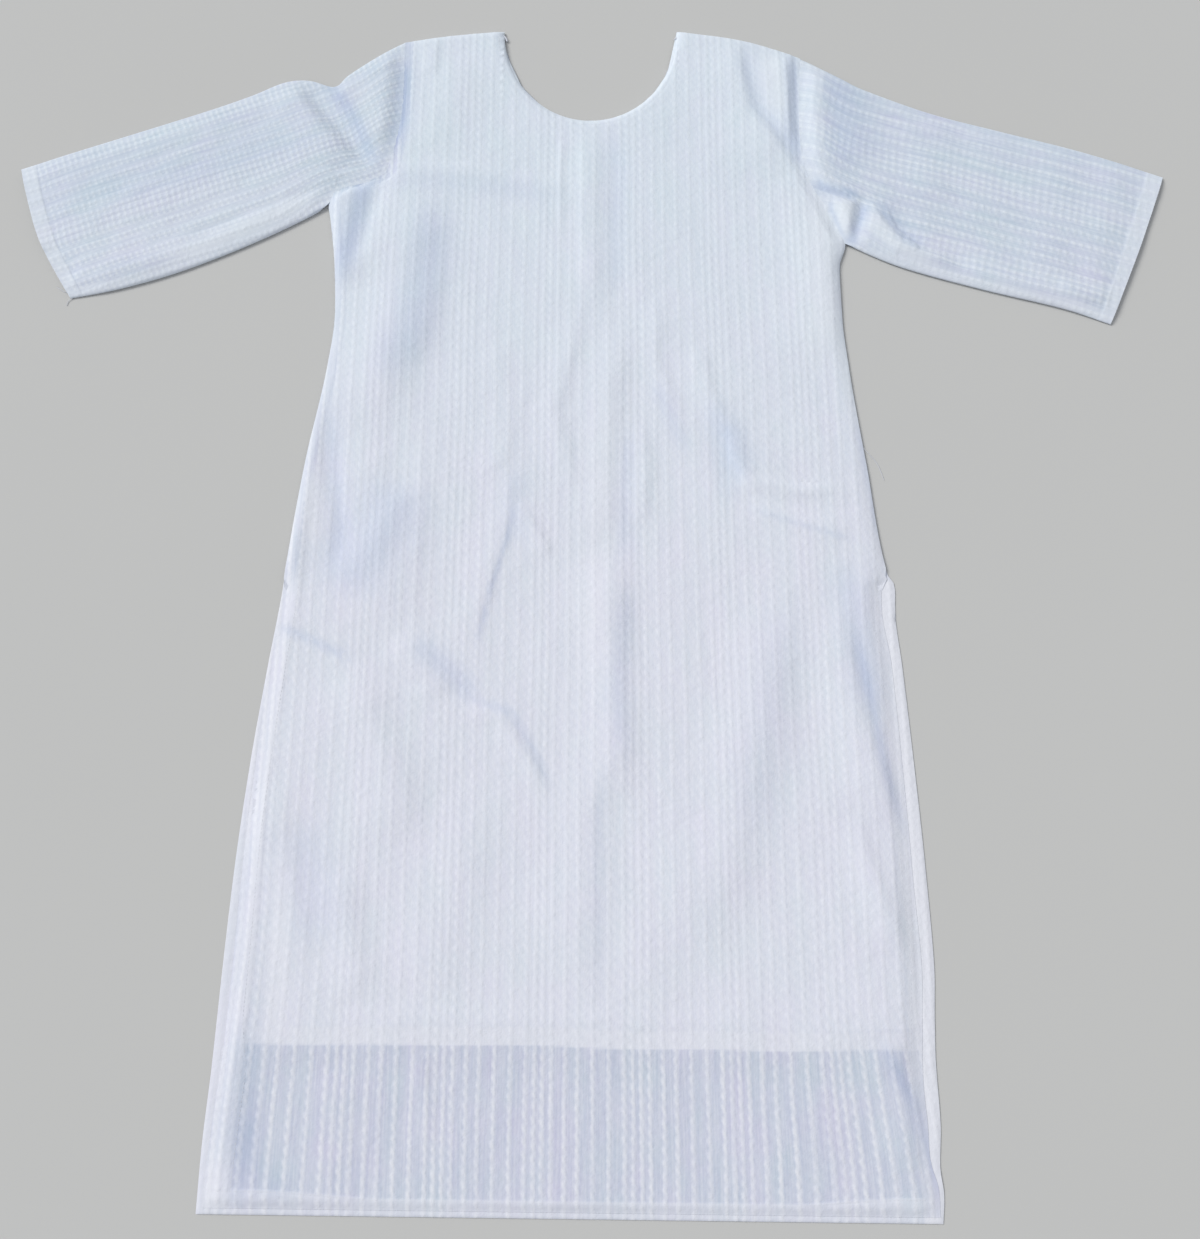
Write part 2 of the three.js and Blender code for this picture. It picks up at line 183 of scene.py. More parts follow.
# Sewing. Threads run through [x, y, z] points.
STITCH = 2.4  # length of a stitch, and the pitch at which they follow one another
STITCH_PITCH = 3.3
STITCH_WIDTH = 0.45
STITCH_RISE = 0.12
SPINDLE = np.array([(2, 3, 4), (3, 0, 4), (0, 1, 4), (1, 2, 4),
                    (3, 2, 5), (0, 3, 5), (1, 0, 5), (2, 1, 5)])
TUBE_SIDES = 6
NECK_SEAM_ENDS = (
    ((-85.0, 1039.5, 2.0), (-82.5, 1038.0, 1.9), (-81.0, 1035.6, 1.6), (-80.4, 1033.6, 1.3)),
    ((84.6, 1037.5, 2.0), (82.0, 1036.4, 1.8), (80.4, 1035.4, 1.4)))
SIDE_SEAM_THREAD = (
    (238.0, 616.0, 1.3), (243.5, 609.5, 0.9), (249.5, 602.0, 0.4), (252.6, 595.0, 0.3),
    (255.5, 585.5, 0.3))
CUFF_THREADS = (
    ((-465.5, 762.5, 0.9), (-471.0, 765.0, 0.5), (-477.5, 767.2, 0.3), (-484.0, 771.5, 0.3)),
    ((-467.0, 761.0, 0.8), (-471.5, 757.6, 0.4), (-473.0, 753.0, 0.3)))

# Colours that are not settings. The tints multiply the cloth's own.
TINTS = {
    "cool": (0.905, 0.985, 0.980, 1.0),
    "mauve": (1.010, 0.945, 1.04, 1.0),
    "upper": (0.955, 1.012, 1.008, 1.0),
    # crease: the colour of painted shade, multiplied in as far as the shade field says
    "crease": (0.77, 0.82, 0.92, 1.0),
}
THREAD_COLOUR = (0.76, 0.78, 0.84, 1.0)
KEY_COLOUR = (1.0, 0.985, 0.965)
SKY_COLOUR = (0.90, 0.93, 1.0, 1.0)
SKY_STRENGTH = 0.518

# Stage, in metres.
FLOOR_REACH = 6.0
FLOOR_LEVEL = -0.0002
KEY_FROM = (-0.80, 0.45, 0.72)
KEY_SPREAD = math.radians(28.0)
CAMERA_HEIGHT = 0.9395
CAMERA_TILT = math.radians(14.05)
CAMERA_OVER = (9.0, 225.5)  # the garment point below the camera, in millimetres
CAMERA_LENS = 33.41

# Soft folds, in the columns name, light, lee, height and points. Each runs through its
# points; light is the bell's width on the side towards the upper left and lee on the other
# side, and a negative height makes a trough. Shades and lights have the same columns.
FRONT_FOLDS = [
    ("centre chest", 9, 16, 1.5, [(-6, 950), (-4, 900), (-4, 830), (4, 740)]),
    ("beside centre", 14, 12, -0.8, [(22, 930), (22, 810), (28, 740)]),
    ("centre waist", 17, 13, 1.9, [(30, 735), (18, 670), (12, 600), (14, 520)]),
    ("centre ridge", 24, 14, 3.2, [(17, 532), (20, 470), (19, 410), (24, 350), (24, 300)]),
    ("centre skirt", 24, 12, 1.3, [(8, 350), (-2, 290), (-2, 150)]),
    ("left chest", 34, 26, 4.1,
     [(-160, 880), (-164, 820), (-170, 760), (-184, 690), (-196, 620)]),
    ("left chest inner", 14, 12, 1.1, [(-140, 800), (-148, 740), (-160, 690)]),
    ("left waist", 30, 24, 1.7, [(-206, 630), (-190, 570), (-172, 510), (-150, 452)]),
    ("left waist inner", 10, 8, 0.9, [(-150, 620), (-142, 560), (-150, 500)]),
    ("kick upper", 16, 5, 1.1, [(-62, 600), (-76, 528), (-100, 436)]),
    ("kick cross", 10, 5, 1.3, [(-64, 566), (-50, 545), (-32, 512)]),
    ("kick lower", 16, 9, 1.2, [(-166, 444), (-144, 428), (-112, 396)]),
    ("kick tail", 9, 5, 1.5, [(-112, 392), (-90, 381), (-70, 374), (-50, 344), (-32, 310)]),
    ("left edge crease", 5, 6, -1.3, [(-268, 458), (-232, 442), (-188, 421)]),
    ("left edge crease end", 6, 6, -0.9, [(-208, 432), (-170, 412), (-132, 398)]),
    ("left thigh", 7, 5, 0.35, [(-146, 540), (-146, 480), (-140, 430)]),
    ("left skirt", 30, 18, 2.4, [(-196, 420), (-182, 380), (-156, 318), (-148, 270)]),
    ("left skirt low", 20, 14, 1.7, [(-196, 260), (-192, 225), (-176, 150)]),
    ("left low", 20, 14, 1.8, [(-256, 330), (-250, 290), (-218, 170)]),
    ("right elbow", 6, 8, 1.8, [(124, 650), (128, 600), (138, 583), (170, 575), (228, 573)]),
    ("right elbow hollow", 12, 10, -0.8, [(112, 640), (120, 605), (126, 575)]),
    ("right elbow cross", 7, 12, 1.3, [(130, 560), (170, 548), (226, 534)]),
    ("right bust", 14, 7, 1.3, [(96, 720), (104, 670), (116, 640), (122, 600)]),
    ("right of centre", 12, 6, 1.1, [(62, 760), (58, 700), (68, 670), (86, 650)]),
    ("right waist", 10, 6, 1.1, [(44, 640), (50, 600), (44, 540)]),
    ("left of centre", 14, 7, 1.2, [(-10, 760), (-14, 720), (-30, 650), (-18, 600), (-12, 560)]),
    ("left of centre outer", 12, 7, 0.7, [(-58, 680), (-66, 640), (-74, 610), (-96, 580)]),
    ("left of centre far", 12, 8, 0.6, [(-84, 720), (-76, 660), (-80, 610)]),
    ("right hip", 32, 24, 3.0, [(170, 510), (156, 440), (132, 341), (108, 260), (84, 175)]),
    ("right slit", 26, 11, 2.6, [(206, 480), (212, 430), (222, 370), (242, 285)]),
    ("right slit low", 16, 8, 1.8, [(212, 300), (222, 262), (246, 185)]),
    ("hem right corner", 26, 14, 1.6, [(222, 130), (234, 100), (242, 76), (246, 50), (252, 26)]),
    ("hem left strip", 10, 10, 1.2, [(-276, 170), (-276, 112), (-276, 66), (-276, 10)]),
    ("hem left hollow", 14, 34, -0.9, [(-250, 114), (-246, 66), (-236, 20)]),
    ("hem middle", 16, 14, -0.8, [(78, 110), (88, 60), (94, 18)]),
    ("hem left middle", 8, 7, 1.0, [(-132, 122), (-124, 80), (-128, 40)]),
    ("hem left", 18, 14, 0.8, [(-196, 112), (-190, 60), (-186, 24)]),
    ("right shoulder", 28, 8, 2.4,
     [(136, 1034), (139, 1005), (149, 955), (172, 920), (188, 888)]),
    ("right shoulder hollow", 6, 8, -0.9, [(146, 1030), (156, 958), (180, 924), (196, 892)]),
    ("right shoulder rise", 20, 9, 2.6, [(182, 1020), (184, 985), (185, 950), (188, 916)]),
    ("left armhole line", 8, 3.5, 0.2, [(-170, 1022), (-169, 985), (-170, 945)]),
    ("left shoulder line", 9, 3.5, 0.9, [(-149, 1032), (-149, 1010), (-150, 990)]),
    ("left chest rise", 22, 22, 1.1, [(-126, 1020), (-134, 960), (-150, 905)]),
    ("chest cross", 8, 14, 1.1, [(-200, 892), (-110, 888), (-10, 866)]),
    ("neck pull left", 4, 3, 0.7, [(-24, 940), (-28, 890), (-26, 820)]),
    ("left armpit edge", 7, 24, 4.0,
     [(-232, 900), (-231, 870), (-229, 830), (-226, 795), (-224, 765)]),
    ("left armpit valley", 12, 9, -1.5, [(-188, 900), (-204, 838), (-221, 778)]),
    ("left armpit rise", 16, 20, 0.9, [(-180, 900), (-194, 838), (-212, 776)]),
    ("left edge roll", 7, 9, 1.7, [(-236, 660), (-243, 590), (-250, 530), (-254, 470)]),
    ("right chest edge", 34, 14, 2.0, [(214, 850), (210, 780), (212, 690)]),
    ("left waist edge", 9, 8, -1.5, [(-232, 660), (-224, 600), (-214, 545), (-216, 500)]),
    ("left waist bulge", 14, 16, 1.3, [(-150, 590), (-168, 550), (-196, 512), (-214, 480)]),
    ("lining hem left", 8, 8, 0.5, [(-240, 140), (-120, 142), (30, 140), (190, 138)]),
    ("skirt drift left", 30, 26, 1.1, [(-96, 330), (-104, 250), (-120, 150)]),
    ("skirt drift right", 28, 24, 1.0, [(72, 420), (66, 300), (60, 170)]),
]

# Painted shade: where the front's folds, creases and seams fall into shade, its colour is
# darkened towards the crease tint.
FRONT_SHADES = [
    ("left chest", 21, 19, 0.48, [(-146, 870), (-144, 800), (-158, 725), (-184, 668)]),
    ("left waist", 32, 28, 0.48, [(-156, 590), (-172, 545), (-196, 505), (-206, 470)]),
    ("kick", 10, 10, 0.45, [(-150, 446), (-112, 412), (-90, 388)]),
    ("kick tail", 4, 4, 0.42, [(-108, 396), (-64, 381), (-44, 348), (-28, 312)]),
    ("kick upper", 2.2, 2.2, 0.6, [(-62, 570), (-71, 528), (-83, 486), (-96, 430)]),
    ("centre", 9, 9, 0.34, [(31, 500), (30, 450), (24, 400), (30, 330)]),
    ("centre skirt", 4, 5, 0.22, [(14, 340), (7, 290), (7, 230), (7, 160)]),
    ("left edge crease", 4, 4, 0.5, [(-266, 457), (-232, 442), (-192, 423)]),
    ("right elbow", 8, 8, 0.35, [(118, 640), (124, 600), (136, 578)]),
    ("low left", 22, 22, 0.28, [(-236, 300), (-222, 250), (-206, 190)]),
    ("hem left", 8, 12, 0.5, [(-262, 150), (-262, 112), (-264, 69), (-264, 30), (-264, -10)]),
    ("hem left corner", 10, 10, 0.26, [(-262, 80), (-254, 44), (-238, 24), (-214, 16)]),
    ("hem right", 5, 5, 0.66,
     [(222, 132), (233, 110), (240, 95), (248, 80), (252, 62), (257, 46), (265, 22), (270, 0)]),
    ("side strip", 3, 4, 0.2, [(-270, 290), (-274, 240), (-277, 190), (-280, 140), (-282, 100)]),
    ("right slit", 5, 5, 0.62, [(221, 460), (232, 393), (240, 341), (256, 270)]),
    ("centre waist", 4, 9, 0.32, [(34, 640), (31, 600), (29, 560), (29, 500)]),
    ("right bust", 11, 12, 0.3, [(104, 664), (114, 642), (128, 626), (134, 604), (138, 585)]),
    ("right bust inner", 10, 10, 0.24, [(106, 650), (113, 615), (118, 585), (121, 555)]),
    ("beside centre", 7, 7, 0.28, [(56, 680), (66, 655), (76, 630), (88, 605)]),
    ("waist patch", 10, 10, 0.26, [(-60, 600), (-66, 560), (-60, 520)]),
    ("right elbow cross", 2.5, 3, 0.3, [(132, 560), (181, 543), (234, 527)]),
    ("right waist edge", 5, 4, 0.45, [(233, 650), (239, 613), (245, 565), (251, 520)]),
    ("right slit blue", 16, 14, 0.42, [(214, 520), (222, 470), (228, 420), (236, 370)]),
    ("left waist edge", 8, 9, 0.42, [(-230, 665), (-222, 600), (-214, 545), (-218, 490)]),
    ("chest cross", 12, 12, 0.2, [(-210, 880), (-110, 876), (-10, 858)]),
    ("neck", 10, 10, 0.28, [(18, 945), (27, 884), (24, 820), (22, 750)]),
    ("right hip", 22, 22, 0.16, [(168, 500), (158, 420), (143, 350), (128, 260)]),
    ("left armhole", 4, 3.2, 1.1, [(-178, 1016), (-177, 985), (-178, 945), (-185, 905)]),
    ("left armhole side", 8, 8, 0.3, [(-174, 1018), (-173, 985), (-174, 945), (-181, 905)]),
    ("left armpit", 11, 10, 0.85,
     [(-206, 930), (-208, 880), (-214, 840), (-221, 800), (-226, 765)]),
    ("right armhole", 8, 5, 0.68, [(194, 1030), (193, 985), (192, 940), (194, 890)]),
    ("right shoulder", 6, 9, 0.38,
     [(145, 1040), (147, 1005), (156, 958), (180, 924), (198, 888)]),
]
# Painted light: where the front's folds face the light, its colour is lifted towards that
# of hems and seam allowances.
FRONT_LIGHTS = [
    ("centre", 13, 9, 0.3, [(25, 710), (20, 660), (12, 600), (8, 520), (2, 440), (0, 380)]),
    ("right chest edge", 22, 14, 0.5, [(206, 885), (214, 840), (216, 760), (212, 680)]),
    ("right shoulder", 12, 8, 0.5, [(172, 1022), (176, 990), (184, 945)]),
    ("left waist edge", 8, 7, 0.45, [(-244, 600), (-240, 560), (-236, 520)]),
    ("left low", 6, 7, 0.32, [(-244, 240), (-246, 190), (-246, 145)]),
]
# Painted shade on the left sleeve: where its folds, creases and armhole seam fall into shade.
LEFT_SLEEVE_SHADES = [
    ("middle", 16, 14, 0.2, [(-225, 935), (-300, 912), (-400, 880), (-510, 850)]),
    ("cap trough", 8, 7, 0.7,
     [(-256, 994), (-244, 978), (-232, 962), (-220, 942), (-208, 915), (-198, 890)]),
    ("armhole", 5, 4, 0.6, [(-181, 1018), (-180, 985), (-181, 945), (-189, 905)]),
]
# Painted shade on the right sleeve: under its cap, in its creases and by its armpit folds.
RIGHT_SLEEVE_SHADES = [
    ("cap", 12, 30, 0.46, [(236, 1010), (233, 960), (236, 915), (244, 880)]),
    ("cross crease", 7, 3, 0.85, [(206, 884), (217, 872), (233, 866), (252, 861)]),
    ("gusset line", 2, 2, 0.6, [(221, 862), (223, 848), (229, 830), (235, 816)]),
    ("armpit valley", 6, 5, 0.8, [(255, 860), (251, 846), (243, 826), (236, 806)]),
    ("armpit ridge valley", 5, 10, 0.7, [(262, 860), (272, 840), (286, 820), (310, 806)]),
]
# Where the cloth of the right sleeve's underside shows, plain and light, with painted light
# where its armpit flap and ridge face the light.
RIGHT_SLEEVE_LIGHTS = [
    ("armpit flap", 14, 10, 0.8, [(236, 862), (234, 846), (232, 830), (232, 812)]),
    ("armpit ridge", 10, 14, 0.55, [(254, 856), (262, 832), (280, 806), (320, 786)]),
]
# The left sleeve's plain, light underside along its under edge, with painted light on its cap and
# lower half where they face the light.
LEFT_SLEEVE_LIGHTS = [
    ("cap", 14, 14, 0.25, [(-226, 1000), (-215, 970), (-205, 935), (-205, 900)]),
    ("lower half", 26, 30, 0.2, [(-225, 890), (-300, 866), (-400, 830), (-490, 800)]),
    ("under edge", 11, 14, 0.6,
     [(-238, 870), (-262, 856), (-300, 836), (-345, 812), (-400, 788)]),
]
LEFT_SLEEVE_FOLDS = [
    ("cap", 22, 12, 1.9, [(-196, 1030), (-191, 985), (-190, 945), (-199, 905)]),
    ("cap trough", 9, 12, -3.4,
     [(-276, 992), (-262, 970), (-240, 944), (-214, 908), (-196, 892)]),
    ("puff", 24, 10, 2.2, [(-292, 984), (-274, 960), (-250, 928), (-224, 898)]),
    ("cross crease", 4, 5, -0.7, [(-262, 896), (-236, 893), (-200, 892)]),
    ("under edge", 16, 12, 0.9, [(-256, 872), (-330, 826), (-400, 795), (-462, 780)]),
    ("under edge hollow", 5, 6, -0.9, [(-236, 876), (-270, 864), (-320, 842), (-380, 816)]),
    ("cuff corner", 14, 10, -1.3, [(-500, 812), (-484, 796), (-462, 780)]),
    ("lengthwise", 20, 18, 0.7, [(-300, 900), (-400, 862), (-500, 828)]),
]
RIGHT_SLEEVE_FOLDS = [
    ("cap", 22, 44, 1.8, [(216, 1010), (212, 960), (216, 900), (222, 876)]),
    ("cap drop", 9, 9, 0.7, [(220, 1004), (217, 950), (220, 905)]),
    ("cross crease", 4, 4, -2.2, [(205, 880), (217, 868), (236, 861), (252, 858)]),
    ("far rise", 22, 30, 0.9, [(300, 950), (312, 900), (318, 850)]),
    ("armpit flap", 16, 8, 1.8, [(238, 866), (234, 838), (230, 816)]),
    ("armpit valley", 5, 7, -2.4, [(252, 866), (247, 840), (240, 812)]),
    ("armpit ridge", 13, 5, 2.6, [(256, 860), (266, 834), (284, 812), (340, 790)]),
    ("armpit ridge valley", 4, 12, -2.2, [(274, 856), (284, 832), (302, 812), (356, 788)]),
    ("under edge", 10, 9, 1.4, [(330, 786), (380, 772), (452, 750)]),
    ("cuff corner", 8, 6, 1.3, [(420, 774), (448, 762), (472, 758)]),
]

# How each sleeve is made: the turn of its lines, the side it lies on, the width of its seam
# allowance, and the look of its puckers.
SLEEVES = {
    "sleeve_left": {
        "edges": LEFT_SLEEVE, "folds": LEFT_SLEEVE_FOLDS, "shades": LEFT_SLEEVE_SHADES,
        "lights": LEFT_SLEEVE_LIGHTS, "turn": math.radians(20.9), "seed": 21, "side": -1,
        "allowance": 4.0, "seam_level": SEAM_LEFT, "seam_radius": 18.0, "dots": 1.0,
        "steady": 0.35, "swing": 0.70, "ghost": 0.55, "sheer": 0.80},
    "sleeve_right": {
        "edges": RIGHT_SLEEVE, "folds": RIGHT_SLEEVE_FOLDS, "shades": RIGHT_SLEEVE_SHADES,
        "lights": RIGHT_SLEEVE_LIGHTS, "turn": math.radians(-17.6), "seed": 31, "side": 1,
        "allowance": 21.0, "seam_level": SEAM_RIGHT, "seam_radius": 15.0, "dots": 0.6,
        "steady": 0.45, "swing": 0.50, "ghost": 0.26, "sheer": 0.93},
}


# ---------------------------------------------------------------------------------------
# Curves, tables and fields
# ---------------------------------------------------------------------------------------
def smooth(low, high, value):
    """0 below low, 1 above high, and the cubic 3t^2 - 2t^3 between them."""
    t = np.clip((value - low) / (high - low), 0.0, 1.0)
    return t * t * (3.0 - 2.0 * t)


def through(table, at, column=1):
    """Cubic Hermite curve through a table's column over its first, with slopes limited so
    that it does not overshoot."""
    known, values = table[:, 0], table[:, column]
    steps = np.diff(known)
    rise = np.diff(values) / steps
    slopes = np.zeros(len(known))
    same_way = rise[:-1] * rise[1:] > 0
    harmonic = 2.0 * rise[:-1] * rise[1:] / np.where(same_way, rise[:-1] + rise[1:], 1.0)
    slopes[1:-1] = np.where(same_way, harmonic, 0.0)
    slopes[0], slopes[-1] = rise[0], rise[-1]
    at = np.clip(at, known[0], known[-1])
    i = np.clip(np.searchsorted(known, at, side="right") - 1, 0, len(steps) - 1)
    t = (at - known[i]) / steps[i]
    start, end = values[i], values[i + 1]
    rise_in, rise_out = slopes[i] * steps[i], slopes[i + 1] * steps[i]
    return ((2 * t**3 - 3 * t**2 + 1) * start + (t**3 - 2 * t**2 + t) * rise_in
            + (3 * t**2 - 2 * t**3) * end + (t**3 - t**2) * rise_out)


def spline(points, shares):
    """Points of the uniform Catmull-Rom curve through points, at shares of its length."""
    ends = np.vstack([points[0], points, points[-1]])
    dense = np.linspace(0.0, len(points) - 1.0, 60 * len(points))
    i = np.minimum(dense.astype(int), len(points) - 2)
    t = (dense - i)[:, None]
    before, start, end, after = (ends[i + k] for k in range(4))
    leave, arrive = 0.5 * (end - before), 0.5 * (after - start)
    path = ((2 * t**3 - 3 * t**2 + 1) * start + (t**3 - 2 * t**2 + t) * leave
            + (3 * t**2 - 2 * t**3) * end + (t**3 - t**2) * arrive)
    lengths = np.concatenate([[0.0], np.cumsum(np.hypot(*np.diff(path, axis=0).T))])
    wanted = np.asarray(shares) * lengths[-1]
    return np.stack([np.interp(wanted, lengths, path[:, k]) for k in range(2)], axis=-1)


def along_path(points, x, y):
    """Distance of each place from a path of straight runs, the side it lies on (above 0 to
    the lower right), and the share of the path's length at its nearest point."""
    points = np.array(points, float)
    starts, spans = points[:-1], np.diff(points, axis=0)
    lengths = np.hypot(*spans.T)
    nearest = np.full(x.shape, np.inf)
    side = np.zeros(x.shape)
    travelled = np.zeros(x.shape)
    passed = 0.0
    for start, span, length in zip(starts, spans, lengths):
        dx, dy = x - start[0], y - start[1]
        share = np.clip((dx * span[0] + dy * span[1]) / length**2, 0.0, 1.0)
        off_x, off_y = dx - share * span[0], dy - share * span[1]
        distance = np.hypot(off_x, off_y)
        closer = distance < nearest
        nearest = np.where(closer, distance, nearest)
        side = np.where(closer, off_x - 0.35 * off_y, side)
        travelled = np.where(closer, passed + share * length, travelled)
        passed += length
    return nearest, side, travelled / passed


def fold_height(fold, x, y):
    """Height of one fold: a bell across the nearest point of its path, wider on the light
    side than on the lee side, fading to nothing over the last quarter at both ends."""
    _, light, lee, height, points = fold
    nearest, side, along = along_path(points, x, y)
    width = light + (lee - light) * (0.5 + 0.5 * np.tanh(side / 1.5))
    fade = smooth(-0.02, 0.25, along) * (1.0 - smooth(0.75, 1.02, along))
    return height * np.exp(-((nearest / width) ** 2)) * fade


def folds(table, x, y):
    """Sum of all the folds of a table."""
    return sum(fold_height(fold, x, y) for fold in table)


def drift(x, y, seed, size):
    """Smooth irregular field between about -1 and 1: waves of several directions whose
    length is near size."""
    rng = np.random.default_rng(seed)
    field = np.zeros(np.broadcast(x, y).shape)
    for _ in range(7):
        angle, phase = rng.uniform(0, math.tau, 2)
        length = size * rng.uniform(0.6, 1.7)
        turn = math.tau / length
        field += np.sin(turn * (x * math.cos(angle) + y * math.sin(angle)) + phase)
    return field / 4.0


def nearest_line(u):
    """Signed distance from the nearest woven line, and that line's running number."""
    turns = np.floor((u - FIRST_LINE) / REPEAT)
    within = (u - FIRST_LINE) - turns * REPEAT
    places = np.append(LINE_PLACES, REPEAT)
    gaps = within[..., None] - places
    pick = np.abs(gaps).argmin(axis=-1)
    distance = np.take_along_axis(gaps, pick[..., None], -1)[..., 0]
    return distance, turns * len(LINE_PLACES) + pick


def puckers(u, v, seed, dots=0.0, steady=0.18):
    """Relief of the crinkled cloth, from 0 to 1, and the beat of its puckers in radians.

    The beat runs on along the lines and leans across them, so that puckers of neighbouring
    lines stand in slanting rows; it wanders slowly, and each line has its own small shift.
    The relief is a bell across each line times a wave of the beat, over a lower wave of the
    same beat in the gaps. With dots above 0 the puckers are short and stand upright, and
    steady is the part of a line's height that the wave leaves alone.
    """
    distance, line = nearest_line(u)
    wandering = 1.1 * drift(u, v, int(seed) + 40, 75.0) + 0.5 * drift(u, v, int(seed) + 41, 22.0)
    pitch = PUCKER_LENGTH * (1.0 - 0.38 * dots)
    beat = math.tau * (v + PUCKER_LEAN * (1.0 - dots) * u) / pitch + wandering
    own = beat + (1.1 - 0.7 * dots) * np.sin(line * 12.9898 + seed)
    wave = 0.5 + 0.5 * np.cos(own + 0.5 * (1.0 - dots) * distance)
    ridge = np.exp(-((distance / (LINE_HALF_WIDTH + 0.3)) ** 2))
    gap = 0.42 * (0.5 + 0.5 * np.cos(beat)) * (1.0 - 0.6 * dots)
    gap *= 1.0 - 0.8 * (steady - 0.18)
    line_height = steady + (1.0 - steady) * wave ** (1.0 + 0.5 * dots)
    return ridge * line_height + (1.0 - ridge) * gap, own


# ---------------------------------------------------------------------------------------
# Plan grids
# ---------------------------------------------------------------------------------------
def thinned(values, least):
    """Sorted values with those closer than least to the one before left out."""
    values = np.unique(np.round(values, 3))
    keep = [values[0]]
    for value in values[1:]:
        if value - keep[-1] >= least:
            keep.append(value)
    return np.array(keep)


def body_columns(outer_step):
    """Column places: four to each woven line inside, even ones outside, and a few more
    where the neckline is steep."""
    repeats = np.arange(-4, 4) * REPEAT + FIRST_LINE
    lines = (repeats[:, None] + LINE_PLACES).ravel()
    between = (lines[1:] + lines[:-1]) / 2.0
    near = np.array([-LINE_HALF_WIDTH, 0.0, LINE_HALF_WIDTH])
    wanted = np.concatenate([(lines[:, None] + near).ravel(), between])
    inner = wanted[np.abs(wanted) < INNER - 1.0]
    neck = NECK_HALF_WIDTH - np.array([0.0, 0.5, 1.6, 3.4, 6.2, 10.0])
    free = inner[np.abs(np.abs(inner) - NECK_HALF_WIDTH + 4.0) > 6.0]
    middle = thinned(np.concatenate([free, neck, -neck]), 0.45)
    left = np.linspace(-OUTER_LEFT, -INNER, int((OUTER_LEFT - INNER) / outer_step))
    right = np.linspace(INNER, OUTER_RIGHT, int((OUTER_RIGHT - INNER) / outer_step))
    return np.concatenate([left, middle, right])


def inset_edges(inset, y):
    """Places of a panel's left and right edges at a height, set in from the back's."""
    return (through(LEFT_EDGE, y) + through(inset, y, 1),
            through(RIGHT_EDGE, y) - through(inset, y, 2))


def top_line(x):
    """Height of shoulders and neckline over x."""
    left = through(LEFT_SHOULDER, x)
    right = through(RIGHT_SHOULDER, x)
    inside = np.sqrt(np.clip(1.0 - (x / NECK_HALF_WIDTH) ** 2, 0.0, 1.0))
    neck = SHOULDER_HEIGHT - NECK_DEPTH * inside
    return np.where(x < -NECK_HALF_WIDTH, left, np.where(x > NECK_HALF_WIDTH, right, neck))


def body_grid(columns, rows, upper_rows, hem_rise, inset, trim=0.0):
    """Plan points of a body panel, rows from the hem up and columns from left to right.

    Level rows stand at the given heights above the hem line, and upper_rows are the shares
    of the way from the last level row to the neckline and shoulders. Outside the inner
    width a column keeps its share of the way to the side edge. An inset table sets the
    side edges in, and trim lowers the top.
    """
    share_left = np.clip((-columns - INNER) / (OUTER_LEFT - INNER), 0.0, 1.0)
    share_right = np.clip((columns - INNER) / (OUTER_RIGHT - INNER), 0.0, 1.0)
    still = np.clip(columns, -INNER, INNER)

    def spread(heights_left, heights_right):
        left = through(LEFT_EDGE, heights_left)
        right = through(RIGHT_EDGE, heights_right)
        if inset is not None:
            left = left + through(inset, heights_left, 1)
            right = right - through(inset, heights_right, 2)
        return (still + share_left * (left[:, None] + INNER)
                + share_right * (right[:, None] - INNER))

    level_x = spread(rows, rows)
    fade = 1.0 - smooth(60.0, 110.0, rows)[:, None]
    level_y = rows[:, None] + (HEM_TILT * level_x + hem_rise) * fade
    ends = np.array([LEFT_EDGE[-1, 0], RIGHT_EDGE[-1, 0]]) - trim
    reach = np.asarray(upper_rows)[:, None]
    upper_x = spread(*(STRAIGHT_ROWS_END + np.asarray(upper_rows) * (end - STRAIGHT_ROWS_END)
                       for end in ends))
    top = spread(ends[:1], ends[1:])[0]
    rise = top_line(top) - trim - STRAIGHT_ROWS_END
    upper_y = STRAIGHT_ROWS_END + reach * rise
    return np.vstack([level_x, upper_x]), np.vstack([level_y, upper_y])


def sleeve_grid(edges, stations, across):
    """Plan points of a sleeve: the blend of its four edges, stations from armhole to cuff
    down the rows and shares of the way from under edge to over edge along the columns."""
    s, t = np.asarray(stations)[:, None, None], np.asarray(across)[None, :, None]
    under = spline(edges["under"], stations)[:, None]
    over = spline(edges["over"], stations)[:, None]
    armhole = spline(edges["armhole"], across)[None]
    cuff = spline(edges["cuff"], across)[None]
    corners = ((1 - s) * ((1 - t) * under[:1] + t * over[:1])
               + s * ((1 - t) * under[-1:] + t * over[-1:]))
    plan = (1 - t) * under + t * over + (1 - s) * armhole + s * cuff - corners
    return plan[..., 0], plan[..., 1]


# ---------------------------------------------------------------------------------------
# Meshes
# ---------------------------------------------------------------------------------------
def grid_quads(rows, columns, first=0, flip=False):
    """Corner numbers of the quads of a grid of points."""
    corner = first + np.arange(rows * columns).reshape(rows, columns)
    quads = np.stack([corner[:-1, :-1], corner[:-1, 1:], corner[1:, 1:], corner[1:, :-1]], -1)
    quads = quads.reshape(-1, 4)
    return quads[:, ::-1] if flip else quads


def ring_quads(ring):
    """Corner numbers of the quads between rings of points, each ring one closed row."""
    following = np.roll(ring, -1, axis=1)
    return np.stack([ring[:-1], following[:-1], following[1:], ring[1:]], -1).reshape(-1, 4)


def rim_faces(fine, coarse, picked, flip):
    """Triangles between a fine row of points and the coarse row under it, which has one
    point below each picked point of the fine one: a fan from each coarse point, and one
    triangle to the next."""
    owner = np.searchsorted(picked, np.arange(len(fine) - 1), side="right") - 1
    fans = np.stack([coarse[owner], fine[1:], fine[:-1]], -1)
    links = np.stack([coarse[:-1], coarse[1:], fine[picked[1:]]], -1)
    faces = np.vstack([fans, links])
    return faces[:, ::-1] if flip else faces


